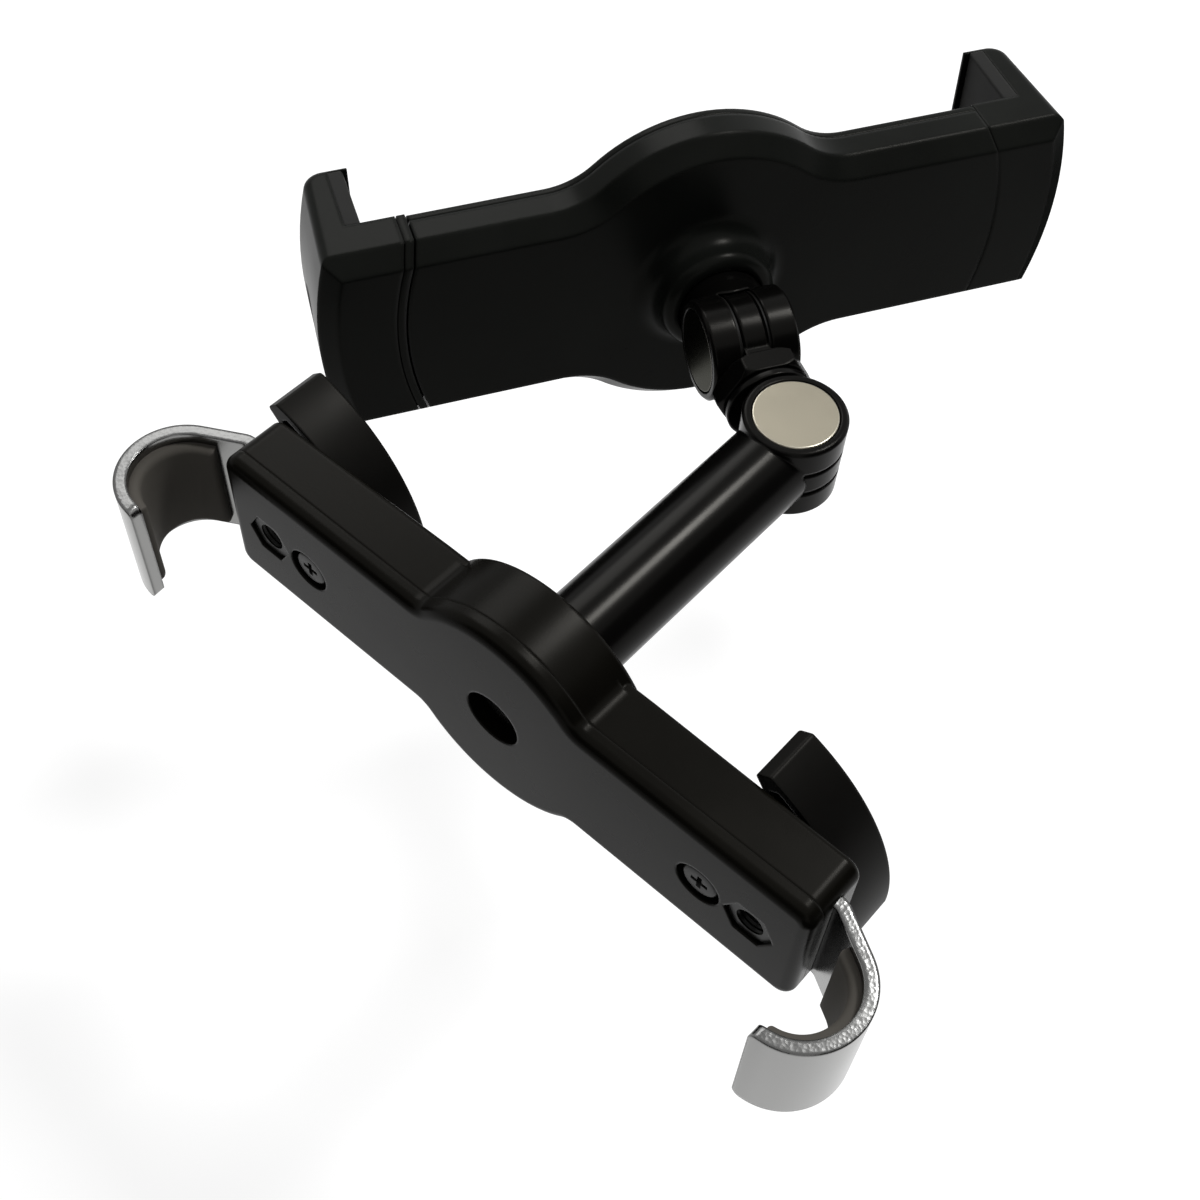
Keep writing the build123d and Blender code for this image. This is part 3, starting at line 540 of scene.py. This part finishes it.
@contextmanager
def editing(piece: bpy.types.Object) -> Iterator[None]:
    """Opens one piece in edit mode and closes it again.

    Args:
        piece: The piece.

    Returns:
        A context, inside which the mesh operators work on the piece.
    """
    focus(piece)
    bpy.ops.object.mode_set(mode="EDIT")
    yield
    bpy.ops.object.mode_set(mode="OBJECT")


def smooth(piece: bpy.types.Object) -> None:
    """Shades a piece smooth, apart from its creases."""
    focus(piece)
    bpy.ops.object.shade_smooth_by_angle(angle=SMOOTH_ANGLE)


def pick(piece: bpy.types.Object, kind: Choose, test: Callable[[Vector, Vector], bool]) -> None:
    """Selects faces or edges of a piece in edit mode.

    Args:
        piece: The piece being edited.
        kind: Whether faces or edges are picked.
        test: Takes the middle and a face's normal or an edge's run, and says whether it is picked.
    """
    bpy.ops.mesh.select_mode(type=kind.value)
    bpy.ops.mesh.select_all(action="DESELECT")
    mesh = bmesh.from_edit_mesh(piece.data)
    if kind is Choose.FACE:
        for face in mesh.faces:
            face.select_set(test(face.calc_center_median(), face.normal))
    else:
        for edge in mesh.edges:
            start, end = (vertex.co for vertex in edge.verts)
            edge.select_set(test((start + end) / 2.0, end - start))
    bmesh.update_edit_mesh(piece.data)


def turned(sides: int, radius: float, top: float, length: float) -> bpy.types.Object:
    """Adds a prism or round bar along Z, with its place in its mesh.

    Args:
        sides: How many sides it has.
        radius: The radius at its corners.
        top: The height of its upper end.
        length: Its length down from there.

    Returns:
        The new object, active and alone selected.
    """
    bpy.ops.object.select_all(action="DESELECT")
    bpy.ops.mesh.primitive_cylinder_add(vertices=sides, radius=radius, depth=length,
                                        location=(0.0, 0.0, top - length / 2.0))
    bpy.ops.object.transform_apply(location=True, rotation=True, scale=True)
    return bpy.context.active_object


def block(size: Triple, middle: Triple) -> bpy.types.Object:
    """Adds a square block, with its place in its mesh.

    Args:
        size: Its size along X, Y and Z.
        middle: Its middle.

    Returns:
        The new object, active and alone selected.
    """
    bpy.ops.object.select_all(action="DESELECT")
    bpy.ops.mesh.primitive_cube_add(size=1.0, location=middle)
    bpy.context.active_object.scale = size
    bpy.ops.object.transform_apply(location=True, rotation=True, scale=True)
    return bpy.context.active_object


def bevel_ends(piece: bpy.types.Object, heights: tuple[float, ...], width: float, steps: int = 1) -> None:
    """Bevels the rims of a bar at the given heights.

    Args:
        piece: The bar.
        heights: The heights of the rims.
        width: The bevel's width.
        steps: How many steps it has.
    """
    with editing(piece):
        pick(piece, Choose.EDGE, lambda middle, run: abs(run.z) < NEAR
             and any(abs(middle.z - height) < NEAR for height in heights))
        bpy.ops.mesh.bevel(offset=width, segments=steps, affect="EDGES")


def draw_down(drop: float, factor: float) -> None:
    """Extrudes the selected face downwards and resizes it across.

    Args:
        drop: How far down it goes.
        factor: What its width is multiplied by.
    """
    bpy.ops.mesh.extrude_region_move(TRANSFORM_OT_translate={"value": (0.0, 0.0, -drop)})
    bpy.ops.transform.resize(value=(factor, factor, 1.0))


def thread_down(piece: bpy.types.Object, crest: float, depth: float, pitch: float, turns: int) -> None:
    """Draws the lower end of a bar on downwards in fine ridges.

    Args:
        piece: The bar, whose lowest face has the crest's radius.
        crest: The ridges' outer radius.
        depth: How deep the valleys are.
        pitch: The distance from ridge to ridge.
        turns: How many ridges there are.
    """
    shrink = (crest - depth) / crest
    lowest = min(vertex.co.z for vertex in piece.data.vertices)
    with editing(piece):
        pick(piece, Choose.FACE, lambda middle, normal: normal.z < -STEEP and abs(middle.z - lowest) < NEAR)
        for _ in range(turns):
            draw_down(pitch / 2.0, shrink)
            draw_down(pitch / 2.0, 1.0 / shrink)


def combine(piece: bpy.types.Object, tool: bpy.types.Object, work: Work) -> None:
    """Works on a piece with a tool shape, which is used up.

    Args:
        piece: The piece that is kept.
        tool: The shape that works on it.
        work: What the tool does.
    """
    step = piece.modifiers.new("step", "BOOLEAN")
    step.operation = work.value
    step.solver = "EXACT"
    step.object = tool
    focus(piece)
    bpy.ops.object.modifier_apply(modifier=step.name)
    bpy.data.objects.remove(tool, do_unlink=True)


def hex_corner(across: float) -> float:
    """The distance from a hexagon's middle to its corners."""
    return across / math.sqrt(3.0)


def chamfered_hexagon(across: float, length: float, chamfer: float) -> bpy.types.Object:
    """Models a hexagon down from zero, with its corners turned off at both ends.

    Args:
        across: The distance across its flats.
        length: Its thickness.
        chamfer: How much the corners lose.

    Returns:
        The hexagon.
    """
    hexagon = turned(HEX_SIDES, hex_corner(across), 0.0, length)
    envelope = turned(ROUND_SIDES, hex_corner(across), 0.0, length)
    bevel_ends(envelope, (0.0, -length), chamfer)
    combine(hexagon, envelope, Work.TRIM)
    return hexagon


@dataclass(frozen=True)
class Seat:
    """Where the copies of one fastener sit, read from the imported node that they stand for."""

    node: str
    out: Vector
    along: Vector
    reach: float

    def _spans(self) -> tuple[Matrix, list[tuple[float, float]]]:
        """Measures the node along the fastener's own axes.

        Returns:
            The turned axes, and the lowest and highest value along each.
        """
        out = self.out.normalized()
        side = out.cross(self.along).normalized()
        axes = Matrix((side.cross(out), side, out))
        packed = frame["nodes"][self.node]
        points = [axes @ (packed.matrix_world @ vertex.co) for vertex in packed.data.vertices]
        return axes, [(min(values), max(values)) for values in zip(*points)]

    def length(self) -> float:
        """The fastener's whole length."""
        low, high = self._spans()[1][2]
        return high - low

    def places(self) -> list[Matrix]:
        """Works out one place for each copy.

        Returns:
            Matrices whose origin is the middle of the outermost face, with Z pointing out.
        """
        axes, spans = self._spans()
        rows = []
        for low, high in spans[:2]:
            single = high - low < 2.0 * self.reach + NEAR
            rows.append([(low + high) / 2.0] if single else [low + self.reach, high - self.reach])
        turn = axes.transposed()
        return [Matrix.Translation(turn @ Vector((x, y, spans[2][1]))) @ turn.to_4x4()
                for x in rows[0] for y in rows[1]]


@dataclass(frozen=True, kw_only=True)
class Fixing:
    """One sort of fastener: the node it stands for, the way it points, its body and its finish."""

    name: str
    node: str
    out: Vector
    along: Vector
    body: str
    slot: str = "black_steel"
    finish: Finish = BLACK_STEEL

    def reach(self) -> float:
        """The furthest that the fastener reaches from its own axis."""
        raise NotImplementedError

    def model(self, length: float) -> bpy.types.Object:
        """Models one fastener along Z, with its outermost face at zero."""
        raise NotImplementedError

    def build(self, wardrobe: Wardrobe) -> None:
        """Models the fastener once and sets a copy in each place.

        Args:
            wardrobe: Where its material comes from.
        """
        seat = Seat(self.node, self.out, self.along, self.reach())
        master = self.model(seat.length())
        smooth(master)
        for number, place in enumerate(seat.places(), start=1):
            copy = master.copy()
            copy.data = master.data.copy()
            copy.data.transform(place)
            copy.name = f"{self.name}_{number}"
            bpy.context.scene.collection.objects.link(copy)
            wardrobe.dress(copy, self.finish)
            hand_over(copy, self.body, self.node)
        bpy.data.objects.remove(master, do_unlink=True)


@dataclass(frozen=True, kw_only=True)
class CrossScrew(Fixing):
    """A pan-head screw with a tapered cross recess."""

    head_radius: float
    head_height: float
    shank_radius: float
    cross_span: float
    cross_width: float
    cross_depth: float
    rim: float
    rim_steps: int = 4
    cross_taper: float = 0.55
    tip_share: float = 0.2
    tip_taper: float = 0.6

    def reach(self) -> float:
        """The head's radius."""
        return self.head_radius

    def model(self, length: float) -> bpy.types.Object:
        """Models the head, the shank with its tapered tip, and the recess.

        Args:
            length: The screw's whole length.

        Returns:
            The finished screw.
        """
        screw = turned(ROUND_SIDES, self.head_radius, 0.0, self.head_height)
        bevel_ends(screw, (0.0,), self.rim, self.rim_steps)
        shank = length - self.head_height
        with editing(screw):
            pick(screw, Choose.FACE, lambda middle, normal: normal.z < -STEEP)
            bpy.ops.mesh.inset(thickness=self.head_radius - self.shank_radius)
            draw_down(shank * (1.0 - self.tip_share), 1.0)
            draw_down(shank * self.tip_share, self.tip_taper)
        for span, width in ((self.cross_span, self.cross_width), (self.cross_width, self.cross_span)):
            combine(screw, self._blade(span, width), Work.CUT)
        return screw

    def _blade(self, span: float, width: float) -> bpy.types.Object:
        """Models one blade of the cross, narrower at its foot.

        Args:
            span: Its size along X.
            width: Its size along Y.

        Returns:
            The blade, ready to cut.
        """
        blade = block((span, width, 2.0 * self.cross_depth), (0.0, 0.0, 0.0))
        with editing(blade):
            pick(blade, Choose.FACE, lambda middle, normal: normal.z < -STEEP)
            bpy.ops.transform.resize(value=(self.cross_taper, self.cross_taper, 1.0))
        return blade


@dataclass(frozen=True, kw_only=True)
class HexFixing(Fixing):
    """A fastener with a chamfered hexagon and a thread."""

    across: float
    chamfer: float
    thread_depth: float = 0.25 * MM
    pitch: float = 0.8 * MM

    def reach(self) -> float:
        """The hexagon's corner."""
        return hex_corner(self.across)


@dataclass(frozen=True, kw_only=True)
class ClampNut(HexFixing):
    """A hex nut with a threaded bore."""

    bore: float

    def model(self, length: float) -> bpy.types.Object:
        """Models the hexagon and cuts the ridged bore.

        Args:
            length: The nut's thickness.

        Returns:
            The finished nut.
        """
        nut = chamfered_hexagon(self.across, length, self.chamfer)
        cutter = turned(ROUND_SIDES, self.bore, self.pitch, self.pitch)
        ridges = math.ceil(length / self.pitch) + 1
        thread_down(cutter, self.bore, -self.thread_depth, self.pitch, ridges)
        combine(nut, cutter, Work.CUT)
        return nut


@dataclass(frozen=True, kw_only=True)
class ClampBolt(HexFixing):
    """A hex-head bolt whose far end is threaded."""

    head_height: float
    shank_radius: float
    thread_length: float

    def model(self, length: float) -> bpy.types.Object:
        """Models the shank, draws its thread and joins the head.

        Args:
            length: The bolt's whole length.

        Returns:
            The finished bolt.
        """
        turns = int(self.thread_length / self.pitch)
        plain = length - turns * self.pitch
        overlap = self.head_height / 2.0
        shank = turned(ROUND_SIDES, self.shank_radius, -overlap, plain - overlap)
        thread_down(shank, self.shank_radius, self.thread_depth, self.pitch, turns)
        bevel_ends(shank, (-length,), self.thread_depth)
        bolt = chamfered_hexagon(self.across, self.head_height, self.chamfer)
        combine(bolt, shank, Work.JOIN)
        return bolt


@dataclass
class Hardware:
    """All the fasteners that show on the mount."""

    front: Vector = field(default_factory=lambda: Vector((0.0, -1.0, 0.0)))
    rear: Vector = field(default_factory=lambda: Vector((0.0, 1.0, 0.0)))
    bar: Vector = field(default_factory=lambda: Vector((1.0, 0.0, 0.0)))
    hex_across: float = 8.0 * MM

    def screws(self) -> list[CrossScrew]:
        """Lists the cross screws with their sizes.

        Returns:
            One entry for each sort.
        """
        tablet, jaw_run = joint_axis("holder_spin"), joint_axis("jaw_slide")
        return [
            CrossScrew(name="cover_screw", node="cover_screws", out=self.front, along=self.bar,
                       body="clamp_bar", head_radius=3.5 * MM, head_height=1.8 * MM, shank_radius=1.5 * MM,
                       cross_span=4.2 * MM, cross_width=1.15 * MM, cross_depth=1.5 * MM, rim=0.7 * MM),
            CrossScrew(name="arm_screw_head", node="arm_screw", out=self.front, along=self.bar,
                       body="clamp_bar", head_radius=4.25 * MM, head_height=3.0 * MM, shank_radius=2.5 * MM,
                       cross_span=4.8 * MM, cross_width=1.2 * MM, cross_depth=2.0 * MM, rim=0.9 * MM),
            CrossScrew(name="holder_screw", node="holder_screws", out=tablet, along=jaw_run,
                       body="holder", head_radius=2.2 * MM, head_height=1.2 * MM, shank_radius=1.2 * MM,
                       cross_span=2.6 * MM, cross_width=0.7 * MM, cross_depth=0.9 * MM, rim=0.4 * MM),
        ]

    def clamps(self) -> list[HexFixing]:
        """Lists the clamps' nuts and bolts with their sizes.

        Returns:
            One entry for the nuts and one for each bolt.
        """
        nut = ClampNut(name="clamp_nut", node="clamp_nuts", out=self.front, along=self.bar, body="clamp_bar",
                       across=self.hex_across, chamfer=0.45 * MM, bore=2.55 * MM)
        bolts = [ClampBolt(name=f"{side}_bolt", node=f"{side}_clamp_bolt", out=self.rear, along=self.bar,
                           body=f"{side}_knob", across=self.hex_across, chamfer=0.4 * MM,
                           head_height=3.2 * MM, shank_radius=2.5 * MM, thread_length=8.0 * MM)
                 for side in ("left", "right")]
        return [nut, *bolts]

    def build(self, wardrobe: Wardrobe) -> None:
        """Builds every sort of fastener.

        Args:
            wardrobe: Where the materials come from.
        """
        for fixing in (*self.screws(), *self.clamps()):
            fixing.build(wardrobe)


@dataclass(frozen=True)
class HookLining:
    """The soft lining of one hook: it follows the bend and part of the straight run, with a rounded rim."""

    side: str
    sign: float
    thickness: float = 1.9 * MM
    height: float = 20.0 * MM
    run: float = 2.9 * MM
    fall: float = math.radians(30.15)
    stop: float = math.radians(-86.0)
    rim: float = 1.2 * MM
    rim_steps: int = 5
    cuts: int = 48

    def build(self, wardrobe: Wardrobe) -> None:
        """Models the lining flat, rounds its rim and wraps it into the hook.

        Args:
            wardrobe: Where its material comes from.
        """
        mounts = {mount["name"]: mount for mount in frame["record"]["mounts"]}
        clamp = mounts[f"{self.side}_post_clamp"]
        reach = abs(clamp["pos_m"][0])
        radius = clamp["dims"]["r_mm"] * MM + self.thickness
        lining = self._slab(self.run + (math.pi / 2.0 - self.fall - self.stop) * radius)
        for vertex in lining.data.vertices:
            vertex.co = self._wrapped(vertex.co, reach, radius)
        with editing(lining):
            bpy.ops.mesh.select_all(action="SELECT")
            bpy.ops.mesh.normals_make_consistent(inside=False)
        smooth(lining)
        lining.name = f"{self.side}_lining"
        wardrobe.dress(lining, PAD_RUBBER)
        hand_over(lining, f"{self.side}_hook", f"{self.side}_hook_pad")

    def _slab(self, length: float) -> bpy.types.Object:
        """Models the flat lining along X, with its back on the plane of X and Z.

        Args:
            length: Its length along the hook.

        Returns:
            The slab, rounded along its open rim and cut fine enough to bend.
        """
        slab = block((length, self.thickness, self.height), (length / 2.0, self.thickness / 2.0, 0.0))
        with editing(slab):
            pick(slab, Choose.EDGE, lambda middle, run: abs(middle.y - self.thickness) < NEAR)
            bpy.ops.mesh.bevel(offset=self.rim, segments=self.rim_steps, affect="EDGES")
            pick(slab, Choose.EDGE, lambda middle, run: abs(run.x) > length / 2.0)
            bpy.ops.mesh.subdivide(number_cuts=self.cuts)
        return slab

    def _wrapped(self, flat: Vector, reach: float, radius: float) -> Vector:
        """Finds where a point of the flat lining lies on the hook.

        Args:
            flat: The point on the slab.
            reach: The distance from the middle of the mount to the post.
            radius: The radius of the hook's inner face.

        Returns:
            The point in the shared frame.
        """
        angle = math.pi / 2.0 - self.fall - max(0.0, flat.x - self.run) / radius
        out = Vector((math.cos(angle), math.sin(angle)))
        back = Vector((-out.y, out.x))
        place = out * (radius - flat.y) + back * max(0.0, self.run - flat.x)
        return Vector((self.sign * (reach + place.x), place.y, flat.z))


@dataclass(frozen=True)
class JawPad:
    """The soft pad inside one jaw, drawn on to the lip so that no open slot shows beside it."""

    jaw: str
    body: str
    reach: float = 1.7 * MM
    end: float = 0.8 * MM

    def build(self, wardrobe: Wardrobe) -> None:
        """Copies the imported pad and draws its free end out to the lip.

        Args:
            wardrobe: Where its material comes from.
        """
        out = joint_axis("holder_spin")
        packed = frame["nodes"][f"{self.jaw}_pad"]
        pad = bpy.data.objects.new(f"{self.jaw}_lining", packed.data.copy())
        pad.data.transform(packed.matrix_world)
        bpy.context.scene.collection.objects.link(pad)
        focus(pad)
        bpy.ops.mesh.customdata_custom_splitnormals_clear()
        far = max(vertex.co.dot(out) for vertex in pad.data.vertices)
        with editing(pad):
            bpy.ops.mesh.select_all(action="SELECT")
            bpy.ops.mesh.remove_doubles(threshold=NEAR)
            pick(pad, Choose.FACE, lambda middle, normal: middle.dot(out) > far - self.end)
            bpy.ops.transform.translate(value=out * self.reach)
        smooth(pad)
        wardrobe.dress(pad, JAW_RUBBER)
        hand_over(pad, self.body, f"{self.jaw}_pad")


@dataclass(frozen=True)
class Lamp:
    """One soft square lamp."""

    name: str
    place: Triple
    target: Triple
    side: float
    watts: float

    def hang(self) -> None:
        """Hangs the lamp so that it faces its target."""
        light = bpy.data.lights.new(self.name, "AREA")
        light.size = self.side
        light.energy = self.watts
        lamp = bpy.data.objects.new(self.name, light)
        lamp.location = self.place
        aim = Vector(self.target) - Vector(self.place)
        lamp.rotation_euler = aim.to_track_quat("-Z", "Y").to_euler()
        bpy.context.scene.collection.objects.link(lamp)


@dataclass(frozen=True)
class Card:
    """A dark card beside the mount, which only shows in reflections."""

    name: str
    place: Triple
    facing: Triple
    width: float
    height: float

    def stand(self, felt: bpy.types.Material) -> None:
        """Sets up the card.

        Args:
            felt: What covers it.
        """
        bpy.ops.object.select_all(action="DESELECT")
        turn = Vector(self.facing).to_track_quat("Z", "Y").to_euler()
        bpy.ops.mesh.primitive_plane_add(size=1.0, location=self.place, rotation=turn)
        card = bpy.context.active_object
        card.name = self.name
        card.scale = (self.width, self.height, 1.0)
        card.data.materials.append(felt)
        card.visible_camera = False
        card.visible_diffuse = False
        card.visible_shadow = False


LAMPS = (
    Lamp("overhead_lamp", place=(0.10, 0.46, 0.74), target=(0.0, 0.06, 0.0), side=0.17, watts=5.0),
    Lamp("left_lamp", place=(-0.63, 0.47, 0.68), target=(-0.02, 0.05, 0.0), side=0.45, watts=2.8),
)
CARDS = (
    Card("front_flag", place=(-0.15, -0.80, 0.48), facing=(0.0, 1.0, 0.0), width=1.5, height=0.85),
    Card("right_flag", place=(0.85, 0.20, 0.40), facing=(-1.0, 0.0, 0.0), width=1.3, height=0.85),
    Card("low_flag", place=(0.05, 0.35, -0.125), facing=(0.0, 0.0, 1.0), width=0.24, height=0.22),
)


@dataclass
class Studio:
    """The white floor, the lamps, the dark cards, the surrounding light and the camera."""

    floor_height: float = -0.14
    floor_half: float = 6.0
    paper_tone: float = 0.42
    paper_glow: float = 0.74
    paper_roughness: float = 0.9
    felt_tone: float = 0.02
    fill_light: float = 0.3
    seen_light: float = 1.0
    eye: Vector = field(default_factory=lambda: Vector((0.0977584, -0.0920737, 0.2356134)))
    right: Vector = field(default_factory=lambda: Vector((0.748930, 0.661510, 0.038826)))
    up: Vector = field(default_factory=lambda: Vector((-0.562098, 0.603166, 0.565895)))
    focal_px: float = 1691.0885
    image_px: float = 1200.0
    sensor: float = 36.0
    near_clip: float = 0.01

    def build(self) -> None:
        """Sets up everything around the object."""
        bpy.context.scene.view_settings.view_transform = "Standard"
        self._world()
        self._floor()
        for lamp in LAMPS:
            lamp.hang()
        felt = self._matt("flag_felt", self.felt_tone)
        for card in CARDS:
            card.stand(felt)
        self._camera()

    def _matt(self, name: str, tone: float) -> bpy.types.Material:
        """Makes a plain grey material without gloss.

        Args:
            name: The material's name.
            tone: How light the grey is.

        Returns:
            The material.
        """
        material = bpy.data.materials.new(name)
        material.use_nodes = True
        shader = material.node_tree.nodes["Principled BSDF"]
        shader.inputs["Base Color"].default_value = (tone, tone, tone, 1.0)
        shader.inputs["Specular IOR Level"].default_value = 0.0
        return material

    def _seen(self, tree: bpy.types.NodeTree) -> bpy.types.NodeSocket:
        """Tells the camera's and mirrors' rays from the light's.

        Args:
            tree: The node tree to add to.

        Returns:
            An output that is 1 for a ray of the camera, a reflection or a clear piece.
        """
        path = tree.nodes.new("ShaderNodeLightPath")
        seen = maths(tree, "MAXIMUM", path.outputs["Is Camera Ray"], path.outputs["Is Glossy Ray"])
        return maths(tree, "MAXIMUM", seen, path.outputs["Is Transmission Ray"])

    def _world(self) -> None:
        """A plain surrounding light that is white where the camera or a mirror sees it."""
        world = bpy.data.worlds.new("surroundings")
        bpy.context.scene.world = world
        world.use_nodes = True
        tree = world.node_tree
        background = tree.nodes["Background"]
        background.inputs["Color"].default_value = WHITE
        level = tree.nodes.new("ShaderNodeMapRange")
        level.inputs["To Min"].default_value = self.fill_light
        level.inputs["To Max"].default_value = self.seen_light
        tree.links.new(self._seen(tree), level.inputs["Value"])
        tree.links.new(level.outputs["Result"], background.inputs["Strength"])

    def _floor(self) -> None:
        """A pale floor well below the mount that keeps a soft shadow and is clear from underneath."""
        bpy.ops.object.select_all(action="DESELECT")
        bpy.ops.mesh.primitive_plane_add(size=2.0 * self.floor_half, location=(0.0, 0.0, self.floor_height))
        floor = bpy.context.active_object
        floor.name = "studio_floor"
        material = self._matt("floor_paper", self.paper_tone)
        tree = material.node_tree
        shader = tree.nodes["Principled BSDF"]
        shader.inputs["Roughness"].default_value = self.paper_roughness
        shader.inputs["Emission Color"].default_value = WHITE
        glow = maths(tree, "MULTIPLY", self._seen(tree), self.paper_glow)
        tree.links.new(glow, shader.inputs["Emission Strength"])
        side = tree.nodes.new("ShaderNodeNewGeometry")
        clear = tree.nodes.new("ShaderNodeBsdfTransparent")
        mix = tree.nodes.new("ShaderNodeMixShader")
        tree.links.new(side.outputs["Backfacing"], mix.inputs["Fac"])
        tree.links.new(shader.outputs["BSDF"], mix.inputs[1])
        tree.links.new(clear.outputs["BSDF"], mix.inputs[2])
        tree.links.new(mix.outputs["Shader"], tree.nodes["Material Output"].inputs["Surface"])
        floor.data.materials.append(material)

    def _camera(self) -> None:
        """Sets the camera where the photograph was taken."""
        lens = bpy.data.cameras.new("photo_camera")
        lens.sensor_fit = "HORIZONTAL"
        lens.sensor_width = self.sensor
        lens.lens = self.focal_px * self.sensor / self.image_px
        lens.clip_start = self.near_clip
        camera = bpy.data.objects.new("photo_camera", lens)
        back = self.right.cross(self.up)
        turn = Matrix((self.right, self.up, back)).transposed().to_4x4()
        camera.matrix_world = Matrix.Translation(self.eye) @ turn
        bpy.context.scene.collection.objects.link(camera)
        bpy.context.scene.camera = camera


def main() -> None:
    """Builds the studio and dresses the mount."""
    logging.basicConfig(level=logging.INFO)
    Studio().build()
    wardrobe = Wardrobe()
    wardrobe.dress_nodes(frame["nodes"])
    Hardware().build(wardrobe)
    for side, sign in (("left", -1.0), ("right", 1.0)):
        HookLining(side, sign).build(wardrobe)
    for jaw, body in (("fixed_jaw", "holder"), ("sliding_jaw", "sliding_jaw")):
        JawPad(jaw, body).build(wardrobe)


if __name__ == "__main__":
    main()
